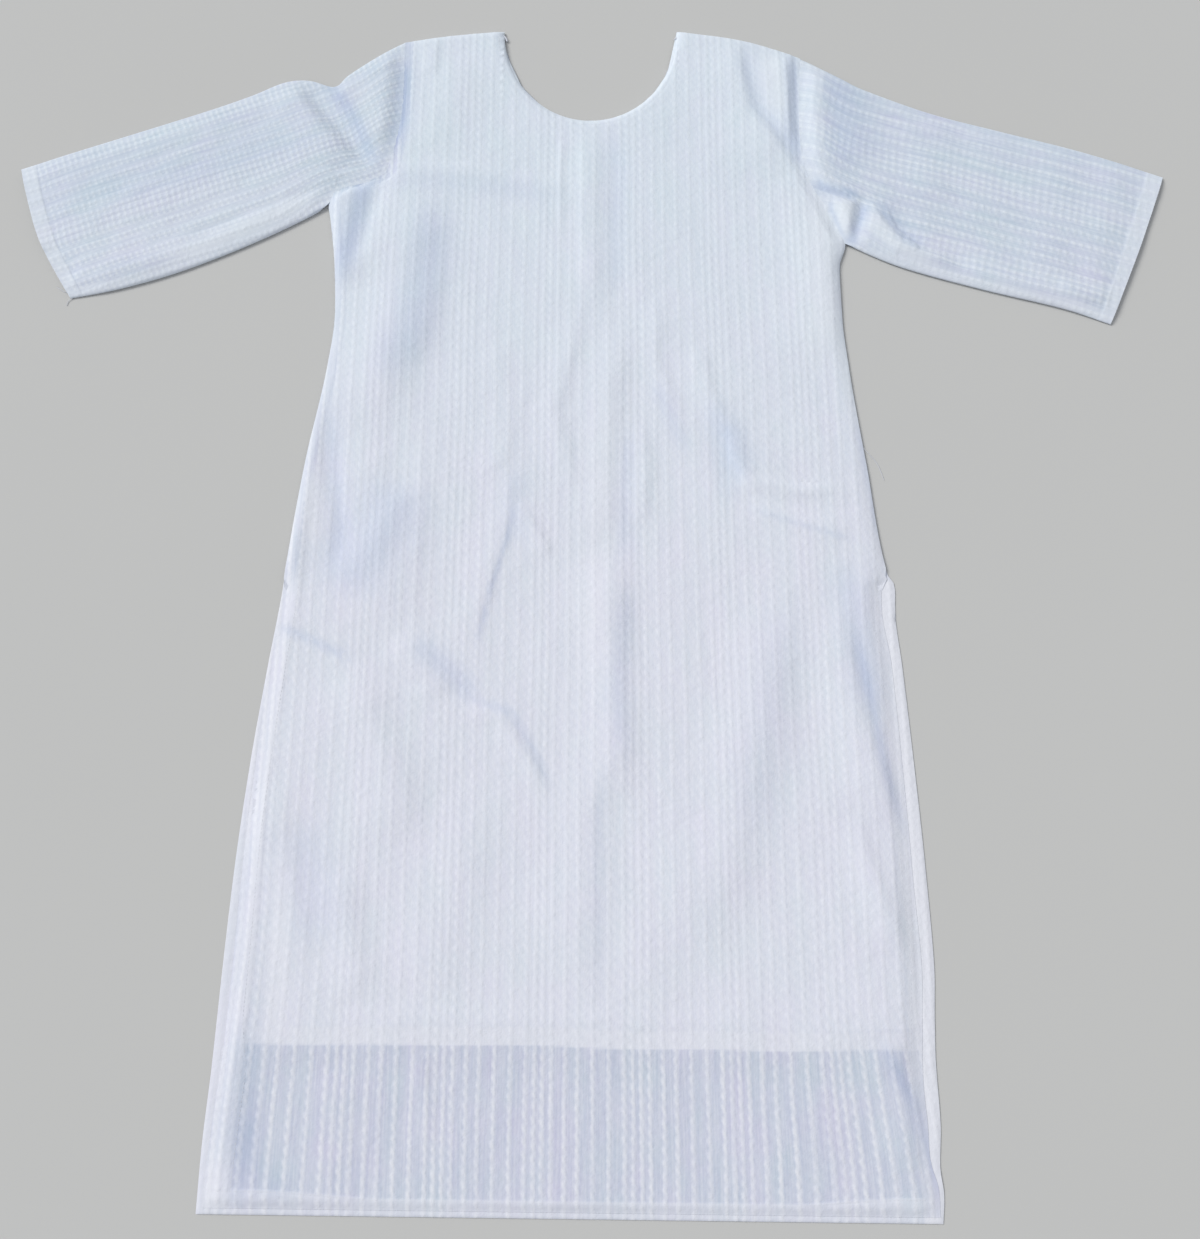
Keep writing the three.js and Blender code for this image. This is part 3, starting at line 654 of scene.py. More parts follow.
def closed_panel(x, y, top, under, every):
    """Points and faces of a closed wall: a fine upper face, a sparser lower face with every
    so many of its rows and columns, and rims that join the two."""
    rows, columns = x.shape
    pick_r = np.unique(np.append(np.arange(0, rows, every), rows - 1))
    pick_c = np.unique(np.append(np.arange(0, columns, every), columns - 1))
    upper = np.stack([x, y, top], -1).reshape(-1, 3)
    under_x, under_y = x.copy(), y.copy()
    under_x[:, 0] += UNDER_TUCK
    under_x[:, -1] -= UNDER_TUCK
    under_y[0] += UNDER_TUCK
    lower = np.stack([under_x, under_y, under], -1)[np.ix_(pick_r, pick_c)].reshape(-1, 3)
    fine = np.arange(rows * columns).reshape(rows, columns)
    coarse = rows * columns + np.arange(len(lower)).reshape(len(pick_r), len(pick_c))
    quads = np.vstack([grid_quads(rows, columns),
                       grid_quads(len(pick_r), len(pick_c), rows * columns, flip=True)])
    triangles = np.vstack([
        rim_faces(fine[0], coarse[0], pick_c, False),
        rim_faces(fine[-1], coarse[-1], pick_c, True),
        rim_faces(fine[:, 0], coarse[:, 0], pick_r, True),
        rim_faces(fine[:, -1], coarse[:, -1], pick_r, False)])
    source = np.concatenate([fine.ravel(), fine[np.ix_(pick_r, pick_c)].ravel()])
    return np.vstack([upper, lower]), quads, triangles, source


def make_piece(name, points, quads, triangles, uv, fields, material,
               sharp_rows=None):
    """A smooth-shaded object from points in garment millimetres, with its cloth
    coordinates as a UV map in metres and its fields as float attributes. Shading breaks at
    steep edges, or only at the edges between sharp_rows, the numbers of an open rim's
    points."""
    mesh = bpy.data.meshes.new(name)
    sizes = np.concatenate([np.full(len(quads), 4), np.full(len(triangles), 3)])
    corners = np.concatenate([quads.ravel(), triangles.ravel()]).astype(np.int32)
    mesh.vertices.add(len(points))
    mesh.vertices.foreach_set("co", ((points + MIDDLE) * MM).astype(np.float32).ravel())
    mesh.loops.add(len(corners))
    mesh.loops.foreach_set("vertex_index", corners)
    mesh.polygons.add(len(sizes))
    starts = np.concatenate([[0], np.cumsum(sizes)[:-1]]).astype(np.int32)
    mesh.polygons.foreach_set("loop_start", starts)
    mesh.polygons.foreach_set("use_smooth", np.ones(len(sizes), dtype=bool))
    layer = mesh.uv_layers.new(name="Cloth")
    layer.data.foreach_set("uv", (uv * MM)[corners].astype(np.float32).ravel())
    for field, values in fields.items():
        attribute = mesh.attributes.new(field, "FLOAT", "POINT")
        attribute.data.foreach_set("value", values.astype(np.float32))
    mesh.update(calc_edges=True)
    mesh.validate()
    if sharp_rows is None:
        mesh.set_sharp_from_angle(angle=RIM_ANGLE)
    else:
        ends = np.empty(2 * len(mesh.edges), np.int32)
        mesh.edges.foreach_get("vertices", ends)
        marked = np.isin(ends.reshape(-1, 2), sharp_rows).all(axis=1)
        sharp = mesh.attributes.new("sharp_edge", "BOOLEAN", "EDGE")
        sharp.data.foreach_set("value", marked)
    mesh.materials.append(material)
    piece = bpy.data.objects.new(name, mesh)
    bpy.context.scene.collection.objects.link(piece)
    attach(piece, "root")
    return piece


# ---------------------------------------------------------------------------------------
# Materials
# ---------------------------------------------------------------------------------------
class Nodes:
    """Short ways to add and join the nodes of one material."""

    def __init__(self, name):
        self.material = bpy.data.materials.new(name)
        self.material.use_nodes = True
        self.tree = self.material.node_tree
        self.shader = self.tree.nodes["Principled BSDF"]

    def node(self, kind, **settings):
        made = self.tree.nodes.new(kind)
        for key, value in settings.items():
            setattr(made, key, value)
        return made

    def feed(self, socket, value):
        """Links a socket to an output, or sets its number or colour."""
        if isinstance(value, bpy.types.NodeSocket):
            self.tree.links.new(value, socket)
        else:
            socket.default_value = value

    def math(self, operation, a, b=0.0, clamp=False):
        made = self.node("ShaderNodeMath", operation=operation, use_clamp=clamp)
        self.feed(made.inputs[0], a)
        self.feed(made.inputs[1], b)
        return made.outputs[0]

    def fit(self, value, times, plus, clamp=False):
        """value * times + plus"""
        made = self.node("ShaderNodeMath", operation="MULTIPLY_ADD", use_clamp=clamp)
        self.feed(made.inputs[0], value)
        made.inputs[1].default_value = times
        made.inputs[2].default_value = plus
        return made.outputs[0]

    def mix(self, share, a, b, blend="MIX"):
        made = self.node("ShaderNodeMix", data_type="RGBA", blend_type=blend)
        self.feed(made.inputs[0], share)
        self.feed(made.inputs[6], a)
        self.feed(made.inputs[7], b)
        return made.outputs[2]

    def field(self, name):
        return self.node("ShaderNodeAttribute", attribute_name=name).outputs["Fac"]

    def noise(self, vector, scale, detail=2.0, roughness=0.5):
        made = self.node("ShaderNodeTexNoise")
        self.feed(made.inputs["Vector"], vector)
        self.feed(made.inputs["Scale"], scale)
        self.feed(made.inputs["Detail"], detail)
        self.feed(made.inputs["Roughness"], roughness)
        return made.outputs["Fac"]

    def grain(self, uv, across, along, detail=2.0, roughness=0.5):
        """Noise with its own scales across and along the cloth."""
        made = self.node("ShaderNodeMapping")
        self.feed(made.inputs["Vector"], uv)
        made.inputs["Scale"].default_value = (across, along, 1.0)
        return self.noise(made.outputs[0], 1.0, detail, roughness)

    def surface(self, colour, roughness, normal=None, more=()):
        """Feeds the shader: colour, roughness, normal, and more (input, value) pairs."""
        self.feed(self.shader.inputs["Base Color"], colour)
        if normal is not None:
            self.feed(self.shader.inputs["Normal"], normal)
        for name, value in (("Roughness", roughness), *more):
            self.shader.inputs[name].default_value = value
        return self.material

    def bump(self, height, strength, distance, below=None):
        made = self.node("ShaderNodeBump")
        self.feed(made.inputs["Height"], height)
        made.inputs["Strength"].default_value = strength
        made.inputs["Distance"].default_value = distance
        if below is not None:
            self.feed(made.inputs["Normal"], below)
        return made.outputs[0]


def darker(colour, share):
    """A colour with its channels cut to a share."""
    return tuple(share * channel for channel in colour[:3]) + (1.0,)


def stripe_mask(nodes, across, half_width, edge):
    """1 on the woven lines and 0 between them, from the place across the repeat in metres:
    the place is wrapped to one repeat and read off a ramp with four stops to a line."""
    lead = 5.0  # the ramp starts this far before the first line
    from_start = nodes.math("SUBTRACT", across, (FIRST_LINE - lead) * MM)
    turns = nodes.math("DIVIDE", from_start, REPEAT * MM)
    ramp = nodes.node("ShaderNodeValToRGB")
    nodes.feed(ramp.inputs[0], nodes.math("FRACT", turns))
    stops = ramp.color_ramp
    stops.interpolation = "LINEAR"
    sides = ((-1, -edge, 0.0), (-1, edge, 1.0), (1, -edge, 1.0), (1, edge, 0.0))
    shares = [((place + lead + side * half_width + off) / REPEAT, level)
              for place in LINE_PLACES for side, off, level in sides]
    for number, (share, level) in enumerate(shares):
        if number < 2:  # a new ramp has two stops already
            stop = stops.elements[number]
            stop.position = share
        else:
            stop = stops.elements.new(share)
        stop.color = (level,) * 3 + (1.0,)
    return ramp.outputs[0]


def striped_cloth_material(name, colours, dots, swing, ghost):
    """Puckered cotton: a blue-grey ground with white woven lines, which look dotted as far
    as dots says and wax and wane by swing. With ghost above 0 the lines of a lower layer
    show faintly between. The fields of a piece say how far it is sheer, how far it is
    lifted towards the colour of hems and seam allowances (where the cloth lies twice, and
    where light is painted), how far it is darkened by painted shade, and the beat of its
    puckers."""
    nodes = Nodes(name)
    uv = nodes.node("ShaderNodeUVMap", uv_map="Cloth").outputs[0]
    place = nodes.node("ShaderNodeTexCoord").outputs["Object"]
    split = nodes.node("ShaderNodeSeparateXYZ")
    nodes.feed(split.inputs[0], uv)
    across = split.outputs[0]
    sheer, doubled_and_painted_light, beat = nodes.field("sheer"), nodes.field("doubled_and_painted_light"), nodes.field("beat")
    shade = nodes.field("shade")

    wave = nodes.fit(nodes.math("COSINE", beat), 0.5, 0.5)
    wander = nodes.fit(nodes.grain(uv, 60.0, 160.0), 0.0014, -0.0007)
    shaky = nodes.fit(nodes.grain(uv, 420.0, 640.0), 0.0012, -0.0006)
    sine = nodes.math("SINE", nodes.math("ADD", beat, 1.0))
    sway = nodes.math("MULTIPLY", sine, 0.00030 * (1.0 - dots))
    swayed = nodes.math("ADD", nodes.math("ADD", across, nodes.math("ADD", wander, shaky)), sway)
    line = stripe_mask(nodes, swayed, LINE_HALF_WIDTH - 0.1 + 0.15 * dots, 0.9 + 0.3 * dots)
    lit = nodes.math("POWER", wave, 1.0 + 0.9 * dots)
    calm = 0.18 * (1.0 - dots)
    calmer = nodes.math("MULTIPLY", sheer, nodes.fit(lit, -calm, calm))
    shown = nodes.math("ADD", nodes.fit(lit, swing, 0.82 - swing), calmer)
    shown = nodes.math("MULTIPLY", shown, nodes.fit(doubled_and_painted_light, -0.5, 1.0))
    uneven = nodes.fit(nodes.grain(uv, 120.0, 9.0), 1.5, 0.15)
    strength = nodes.math("MULTIPLY", nodes.fit(sheer, 0.52 - 0.08 * dots, 0.34), uneven)
    on_line = nodes.math("MULTIPLY", nodes.math("MULTIPLY", line, shown), strength, clamp=True)

    ground = nodes.mix(sheer, colours["lined"], colours["single"])
    streak = nodes.grain(uv, 46.0, 6.0, 3.0, 0.6)
    blotch = nodes.noise(place, 23.0, 3.0, 0.6)
    patch = nodes.fit(nodes.math("ADD", streak, blotch), 1.9, -1.4, clamp=True)
    tint = nodes.mix(patch, colours["cool"], colours["mauve"])
    ground = nodes.mix(nodes.fit(sheer, 0.45, 0.35), ground, tint, "MULTIPLY")
    threads = nodes.fit(nodes.grain(uv, 560.0, 22.0, 2.0), 2.4, -0.7, clamp=True)
    slant = nodes.math("COSINE", nodes.math("ADD", beat, nodes.math("MULTIPLY", across, 540.0)))
    slant = nodes.math("MULTIPLY", slant, nodes.fit(sheer, -0.20, 0.28))
    threads = nodes.math("ADD", threads, slant, clamp=True)
    ground = nodes.mix(nodes.math("MULTIPLY", threads, 0.38), ground, colours["line"])
    if ghost > 0:
        below = stripe_mask(nodes, nodes.math("ADD", swayed, 0.0034), LINE_HALF_WIDTH - 0.3, 0.9)
        other = nodes.math("MULTIPLY", lit, below)
        ground = nodes.mix(nodes.math("MULTIPLY", other, ghost), ground, colours["line"])
    # Hems and seam allowances, and painted light, lift the ground towards the hem colour.
    ground = nodes.mix(doubled_and_painted_light, ground, colours["doubled_and_painted_light"])
    colour = nodes.mix(on_line, ground, colours["line"])
    height = nodes.node("ShaderNodeSeparateXYZ")
    nodes.feed(height.inputs[0], place)
    upper = nodes.fit(height.outputs[1], 2.3, 0.12, clamp=True)
    colour = nodes.mix(upper, colour, colours["upper"], "MULTIPLY")
    # Painted shade: the colour is darkened towards the crease tint as far as the shade field says.
    colour = nodes.mix(shade, colour, colours["crease"], "MULTIPLY")

    thread = nodes.grain(uv, 2600.0, 900.0, 1.0)
    weft = nodes.grain(uv, 700.0, 2600.0, 1.0)
    crumple = nodes.noise(place, 150.0, 3.0, 0.6)
    weave = nodes.bump(nodes.math("ADD", thread, weft), 0.25, 0.0002)
    soft = nodes.bump(crumple, 0.45, 0.0012, weave)
    swollen = nodes.math("MULTIPLY", line, nodes.fit(wave, 0.7, 0.3))
    raised = nodes.bump(swollen, 0.35, 0.0005, soft)
    return nodes.surface(colour, 0.86, raised, (
        ("Specular IOR Level", 0.22), ("Sheen Weight", 0.25), ("Sheen Roughness", 0.45)))


def lining_material(colour):
    """Plain white lawn: a fine even weave."""
    nodes = Nodes("lining_lawn")
    uv = nodes.node("ShaderNodeUVMap", uv_map="Cloth").outputs[0]
    weave = nodes.grain(uv, 1800.0, 1800.0, 2.0)
    shade = nodes.noise(uv, 9.0, 3.0)
    return nodes.surface(nodes.mix(shade, darker(colour, 0.93), colour), 0.9,
                         nodes.bump(weave, 0.2, 0.0002), (("Sheen Weight", 0.15),))


def thread_material(name, colour):
    """Sewing thread: fine noise for its twisted plies."""
    nodes = Nodes(name)
    place = nodes.node("ShaderNodeTexCoord").outputs["Object"]
    ply = nodes.noise(place, 2400.0, 1.0)
    return nodes.surface(nodes.mix(ply, darker(colour, 0.8), colour), 0.7,
                         nodes.bump(ply, 0.3, 0.0001))


# ---------------------------------------------------------------------------------------
# Cloth coordinates and heights of each piece
# ---------------------------------------------------------------------------------------
def body_cloth(x, y):
    """Cloth coordinates of a body panel: the lines run from hem to shoulder and lean with
    the side edges near the hem's corners."""
    low = 1.0 - smooth(30.0, 240.0, y)
    lean_right = 15.0 * smooth(120.0, 270.0, x) * (1.0 - smooth(0.0, 150.0, y))
    lean_left = -9.0 * smooth(150.0, 292.0, -x) * low
    ripple = 0.7 * drift(x, y, 11, 190.0)
    return x - lean_right - lean_left + ripple, y


def rounded(distance, radius):
    """Quarter-round profile from 0 at an edge to 1 at radius inside it."""
    t = np.clip(distance / radius, 0.0, 1.0)
    return np.sqrt(t * (2.0 - t))


def hem_band(x):
    """Height of the front's hem fold over x."""
    return HEM_BAND + HEM_BAND_ENDS * (smooth(150.0, 250.0, -x) + smooth(150.0, 240.0, x))


def left_slit_extra(y):
    """How much wider the left slit's hem is than the right one's."""
    return 4.0 + 7.0 * (1.0 - smooth(95.0, 150.0, y))


def front_fields(x, y):
    """Upper face of the front, and how far it is sheer, how far it is lighter (hems, seam
    allowances and painted light), and how far it is in painted shade.
    """
    own_left, own_right = inset_edges(FRONT_INSET, y)
    left, right = x - own_left, own_right - x
    beside = np.minimum(left, right)
    above_hem = y - HEM_TILT * x - FRONT_HEM_RISE
    left_end, right_end = inset_edges(LINING_INSET, y)
    lining_left, lining_right = x - left_end, right_end - x
    lining_line = LINING_HEM - 0.012 * x + 1.2 * drift(x, y * 0.0, 5, 160.0)

    over_lining = (smooth(-28.0, 14.0, y - lining_line) * smooth(-26.0, 6.0, lining_left)
                   * smooth(-16.0, 4.0, lining_right))
    rest = FRONT_ON_BACK + (FRONT_ON_LINING - FRONT_ON_BACK) * over_lining
    on_lining = (smooth(-20.0, -1.0, y - lining_line) * smooth(-20.0, -1.0, lining_left)
                 * smooth(-12.0, -1.0, lining_right))
    least = LEAST_ON_BACK + (LEAST_ON_LINING - LEAST_ON_BACK) * on_lining
    near_hem = 0.55 + 0.45 * smooth(15.0, 120.0, y)
    waves = 0.8 * drift(x, y, 3, 150.0) + 0.30 * drift(x, y, 4, 48.0) + 0.10 * drift(x, y, 6, 17.0)
    lifted = rest + (folds(FRONT_FOLDS, x, y) + waves) * near_hem
    level = least + SOFT_LANDING * np.logaddexp(0.0, (lifted - least) / SOFT_LANDING)

    seam = smooth(SLIT_TOP - 10.0, SLIT_TOP + 22.0, y)
    top_gap = top_line(np.clip(x, LEFT_SHOULDER[0, 0], RIGHT_SHOULDER[-1, 0])) - y
    armhole_left = smooth(LEFT_ARMPIT - 4.0, LEFT_ARMPIT + 12.0, y)
    armhole_right = smooth(RIGHT_ARMPIT - 4.0, RIGHT_ARMPIT + 12.0, y)
    side_left = 1.0 + (rounded(left, 9.0) - 1.0) * seam * (1.0 - armhole_left)
    side_right = 1.0 + (rounded(right, 9.0) - 1.0) * seam * (1.0 - armhole_right)
    from_left_seam, _, _ = along_path(LEFT_ARMHOLE, x, y)
    from_right_seam, _, _ = along_path(RIGHT_ARMHOLE, x, y)
    hole_left = 1.0 + (smooth(-1.0, 11.0, from_left_seam) - 1.0) * armhole_left
    hole_right = 1.0 + (smooth(-1.0, 12.0, from_right_seam) - 1.0) * armhole_right
    level = SEAM_LEFT + (level - SEAM_LEFT) * hole_left
    level = SEAM_RIGHT + (level - SEAM_RIGHT) * hole_right
    neck = np.sqrt((x / NECK_HALF_WIDTH) ** 2 + ((SHOULDER_HEIGHT - y) / NECK_DEPTH) ** 2)
    neck_gap = np.where(y > STRAIGHT_ROWS_END - 40.0, (neck - 1.0) * NECK_SPREAD, FAR)
    roll = side_left * side_right * rounded(neck_gap, 7.0) * rounded(np.maximum(top_gap, 0.0), 7.0)
    level = SEAM_LEVEL + (level - SEAM_LEVEL) * roll

    hem = 1.0 - smooth(-0.6, 0.6, above_hem - hem_band(x))
    slit_width = SLIT_HEM + left_slit_extra(y) * smooth(0.0, 1.0, -x)
    slit_hem = (1.0 - smooth(-0.7, 0.7, beside - slit_width)) * (1.0 - seam)
    level = level + HEM_EXTRA * np.maximum(hem, slit_hem)
    level = level - 0.25 * np.exp(-(((above_hem - hem_band(x) + HEM_STITCH) / 0.9) ** 2))
    pressed = np.minimum(smooth(-1.5, 13.0, left), smooth(-1.5, 18.0, right))
    laid_down = smooth(-1.2, 7.5, above_hem) * (1.0 + (pressed - 1.0) * (1.0 - seam))
    level = EDGE_LEVEL + (level - EDGE_LEVEL) * laid_down
    level = level - 0.25 * np.exp(-(((neck_gap - NECK_STITCH) / 1.2) ** 2))

    cover = smooth(-0.9, 0.9, y - lining_line) * smooth(-2.0, 2.0, lining_left)
    lining_hem = cover * (1.0 - smooth(12.0, 14.5, y - lining_line))
    lining_side = (cover * smooth(15.0, 19.0, lining_left) * (1.0 - smooth(30.0, 36.0, lining_left))
                   * (1.0 - smooth(230.0, 330.0, y)))
    thin_side = (cover * (1.0 - smooth(12.0, 20.0, lining_left)) * (1.0 - smooth(150.0, 330.0, y)))
    back_line = BACK_LINING_HEM + 0.02 * (x - 200.0)
    peek = smooth(150.0, 215.0, x) * (1.0 - smooth(-0.9, 0.9, y - back_line)) * cover
    allowance = (1.0 - smooth(7.0, 11.0, beside)) * seam * (1.0 - armhole_left * armhole_right)
    slit_white = np.where(x < 0.0, 0.42 - 0.10 * (1.0 - smooth(60.0, 170.0, y)),
                          0.30 + 0.15 * smooth(92.0, 110.0, y) * (1.0 - smooth(140.0, 190.0, y)))
    slit_white = slit_white + 0.35 * smooth(0.0, 1.0, -x) * (1.0 - smooth(15.0, 60.0, y))
    # Painted light on the front, from its table, joins the hems and seam allowances below.
    lights = np.clip(folds(FRONT_LIGHTS, x, y), 0.0, 1.0)
    doubled_and_painted_light = np.maximum.reduce([lights, 0.40 * hem, slit_white * slit_hem, 0.30 * lining_hem,
                                 0.35 * lining_side, 0.30 * allowance])
    sheer = np.clip(1.0 - cover + 0.35 * peek + 0.28 * thin_side, 0.0, 1.0)
    # Painted shade on the front, from its table.
    shade = np.clip(folds(FRONT_SHADES, x, y), 0.0, 1.0)
    return level, sheer, doubled_and_painted_light, shade


def back_fields(x, y):
    """Upper face of the back, and how far it is sheer, doubled and shaded."""
    beside = np.minimum(x - through(LEFT_EDGE, y), through(RIGHT_EDGE, y) - x)
    above_hem = y - HEM_TILT * x
    below_slit = 1.0 - smooth(SLIT_TOP - 2.0, SLIT_TOP + 3.0, y)
    hem = 1.0 - smooth(HEM_BAND - 0.6, HEM_BAND + 0.6, above_hem)
    slit_hem = (1.0 - smooth(14.0, 15.4, beside)) * below_slit
    edge = rounded(np.minimum(beside, above_hem), 2.5)
    level = BACK_EDGE + (BACK_TOP - BACK_EDGE + 0.25 * np.maximum(hem, slit_hem)) * edge
    doubled_and_painted_light = np.maximum(0.45 * hem, (0.58 + 0.27 * smooth(0.0, 1.0, x)) * slit_hem)
    return level, np.ones_like(x), doubled_and_painted_light, np.zeros_like(x)


def free_edge(x, y):
    """Distance inside the front's unsewn edges: both slits and the hem."""
    left, right = inset_edges(FRONT_INSET, y)
    beside = np.minimum(x - left, right - x)
    return np.minimum(beside + FAR * smooth(SLIT_TOP, SLIT_TOP + 20.0, y),
                      y - HEM_TILT * x - FRONT_HEM_RISE)


def front_underside(top, x, y):
    """Lower face of the front: one cloth below its upper face, less at the free edges."""
    return top - EDGE_CLOTH - (CLOTH - EDGE_CLOTH) * smooth(0.0, 6.0, free_edge(x, y))


def front_surface(x, y):
    """Height of the front's puckered upper face."""
    level, _, doubled_and_painted_light, _ = front_fields(x, y)
    crinkle, _ = puckers(*body_cloth(x, y), 0.0)
    return level + bpy.context.scene.kurti_cloth.pucker * crinkle * (1.0 - 0.6 * doubled_and_painted_light)


# ---------------------------------------------------------------------------------------
# Sewing
# ---------------------------------------------------------------------------------------
def sewing_piece(name, points, quads, triangles):
    """A piece of sewing; all of them share one thread material."""
    thread = (bpy.data.materials.get("sewing_thread")
              or thread_material("sewing_thread", THREAD_COLOUR))
    return make_piece(name, points, quads, triangles, points[:, :2], {}, thread)


def make_stitches(name, *paths):
    """One mesh of stitches along paths of [x, y, z] points on the cloth. Each stitch is a
    closed eight-faced spindle: two tips, two sides, a top and a foot in the cloth."""
    centres, heads = [], []
    for path in paths:
        lengths = np.concatenate([[0.0], np.cumsum(np.hypot(*np.diff(path[:, :2], axis=0).T))])
        count = int(lengths[-1] / STITCH_PITCH)
        at = (np.arange(count) + 0.5) * STITCH_PITCH

        def place(where):
            return np.stack([np.interp(where, lengths, path[:, k]) for k in range(3)], -1)

        centres.append(place(at))
        heads.append(place(at + STITCH / 2.0) - place(at - STITCH / 2.0))
    centre, head = np.vstack(centres), np.vstack(heads)
    sideways = np.stack([-head[:, 1], head[:, 0], np.zeros(len(head))], -1)
    sideways *= (STITCH_WIDTH / 2.0) / np.hypot(*sideways[:, :2].T)[:, None]
    up = np.array([0.0, 0.0, STITCH_RISE])
    corners = np.stack([centre - head / 2.0, centre - sideways, centre + head / 2.0,
                        centre + sideways, centre + up, centre - up], axis=1)
    triangles = (6 * np.arange(len(centre))[:, None, None] + SPINDLE).reshape(-1, 3)
    return sewing_piece(name, corners.reshape(-1, 3), np.empty((0, 4), int), triangles)


def make_threads(name, radius, *paths):
    """One mesh of loose thread ends: closed six-sided tubes along smooth curves through
    [x, y, z] points, each ring upright across its curve."""
    points, quads, triangles = [], [], []
    turn = np.arange(TUBE_SIDES) * math.tau / TUBE_SIDES
    for path in paths:
        path = np.array(path, float)
        shares = np.linspace(0.0, 1.0, 4 * len(path))
        line = spline(path[:, :2], shares)
        height = np.interp(shares, np.linspace(0.0, 1.0, len(path)), path[:, 2])
        ahead = np.gradient(line, axis=0)
        ahead /= np.hypot(*ahead.T)[:, None]
        across = np.stack([-ahead[:, 1], ahead[:, 0]], -1)
        rings = np.concatenate([
            line[:, None] + radius * np.cos(turn)[None, :, None] * across[:, None],
            (height[:, None] + radius * np.sin(turn)[None])[..., None]], -1)
        first = sum(len(block) for block in points)
        count = len(shares)
        ring = first + np.arange(count * TUBE_SIDES).reshape(count, TUBE_SIDES)
        following = np.roll(ring, -1, axis=1)
        quads.append(ring_quads(ring))
        tips = first + count * TUBE_SIDES + np.arange(2)
        triangles.append(np.stack([ring[0], np.full(TUBE_SIDES, tips[0]), following[0]], -1))
        triangles.append(np.stack([ring[-1], following[-1], np.full(TUBE_SIDES, tips[1])], -1))
        caps = np.concatenate([line[[0, -1]], height[[0, -1], None]], -1)
        points.append(np.vstack([rings.reshape(-1, 3), caps]))
    return sewing_piece(name, np.vstack(points), np.vstack(quads), np.vstack(triangles))


def front_sewing():
    """Paths of the front's stitch rows: hem, both slit hems and neckline."""
    x = np.linspace(-278.0, 254.0, 400)
    hem = np.stack([x, HEM_TILT * x + FRONT_HEM_RISE + hem_band(x) - HEM_STITCH], -1)
    y = np.linspace(18.0, SLIT_TOP - 8.0, 300)
    left, right = inset_edges(FRONT_INSET, y)
    slit_left = left + SLIT_HEM - SLIT_STITCH + left_slit_extra(y)
    slit_right = right - SLIT_HEM + SLIT_STITCH
    angle = np.linspace(0.07, math.pi - 0.07, 200)
    wide = 1.0 + NECK_STITCH / NECK_SPREAD
    neck = np.stack([NECK_HALF_WIDTH * wide * np.cos(angle),
                     SHOULDER_HEIGHT - NECK_DEPTH * wide * np.sin(angle)], -1)
    flat = [hem, np.stack([slit_left, y], -1), np.stack([slit_right, y], -1), neck]
    return [np.column_stack([path, front_surface(path[:, 0], path[:, 1])]) for path in flat]


# ---------------------------------------------------------------------------------------
# Settings and operators
# ---------------------------------------------------------------------------------------
def colour_setting(name, description, default):
    """A colour property with an alpha channel."""
    return bpy.props.FloatVectorProperty(
        name=name, description=description, size=4, subtype="COLOR", min=0.0, max=1.0,
        default=default)


class KurtiClothSettings(bpy.types.PropertyGroup):
    """Colours and small sizes of the cloth."""

    lined: colour_setting("Lined cloth", "Ground colour where a lining lies below",
                          (0.742, 0.766, 0.836, 1.0))
    single: colour_setting("Single cloth", "Ground colour where the cloth is sheer",
                           (0.596, 0.630, 0.722, 1.0))
    line: colour_setting("Woven line", "Colour of the puckered lines",
                         (0.845, 0.855, 0.895, 1.0))
    # Painted light also lifts the cloth towards this colour.
    doubled_and_painted_light: colour_setting("Doubled cloth", "Colour of hems and seam allowances",
                            (0.825, 0.835, 0.880, 1.0))
    lining: colour_setting("Lining", "Colour of the plain lining", (0.780, 0.790, 0.820, 1.0))
    pucker: bpy.props.FloatProperty(
        name="Pucker height", description="How far the woven lines stand up, in millimetres",
        default=PUCKER_HEIGHT, min=0.0, max=2.0)


class KurtiStageSettings(bpy.types.PropertyGroup):
    """Floor and light."""

    floor: colour_setting("Floor", "Colour of the floor", (0.58, 0.58, 0.56, 1.0))
    key_power: bpy.props.FloatProperty(
        name="Key light", description="Strength of the wide light at the upper left", default=2.24,
        min=0.0)


def cloth_material(name, dots=0.0, swing=0.46, ghost=0.0):
    """The striped cloth's material, made once for each look."""
    made = bpy.data.materials.get(name)
    if made:
        return made
    settings = bpy.context.scene.kurti_cloth
    chosen = {key: tuple(getattr(settings, key)) for key in ("lined", "single", "line", "doubled_and_painted_light")}
    return striped_cloth_material(name, {**chosen, **TINTS}, dots, swing, ghost)


def level_rows(step):
    """Heights of the level rows: close together at the hem's fold and at the lining's hem."""
    hem = np.array([0.0, 0.7, 1.8, 3.2, 5.2, 7.4, 8.6, 9.1, 9.7, 10.4, 11.6, 12.8, 13.4, 14.0, 15.0])
    body = np.concatenate([np.arange(16.6, 116.0, 2.35), np.arange(139.0, STRAIGHT_ROWS_END, step)])
    lining = np.arange(116.0, 139.0, 1.5)
    rows = np.concatenate([hem, body, lining, [STRAIGHT_ROWS_END]])
    return thinned(rows, 0.5)


def upper_shares(step):
    """Shares of the upper rows, closer together near the seams and the neckline."""
    count = int((SHOULDER_HEIGHT - STRAIGHT_ROWS_END) / step)
    even = np.arange(1, count + 1) / count
    return np.unique(np.concatenate([even[:-1], [0.955, 0.975, 0.988, 0.996, 1.0]]))


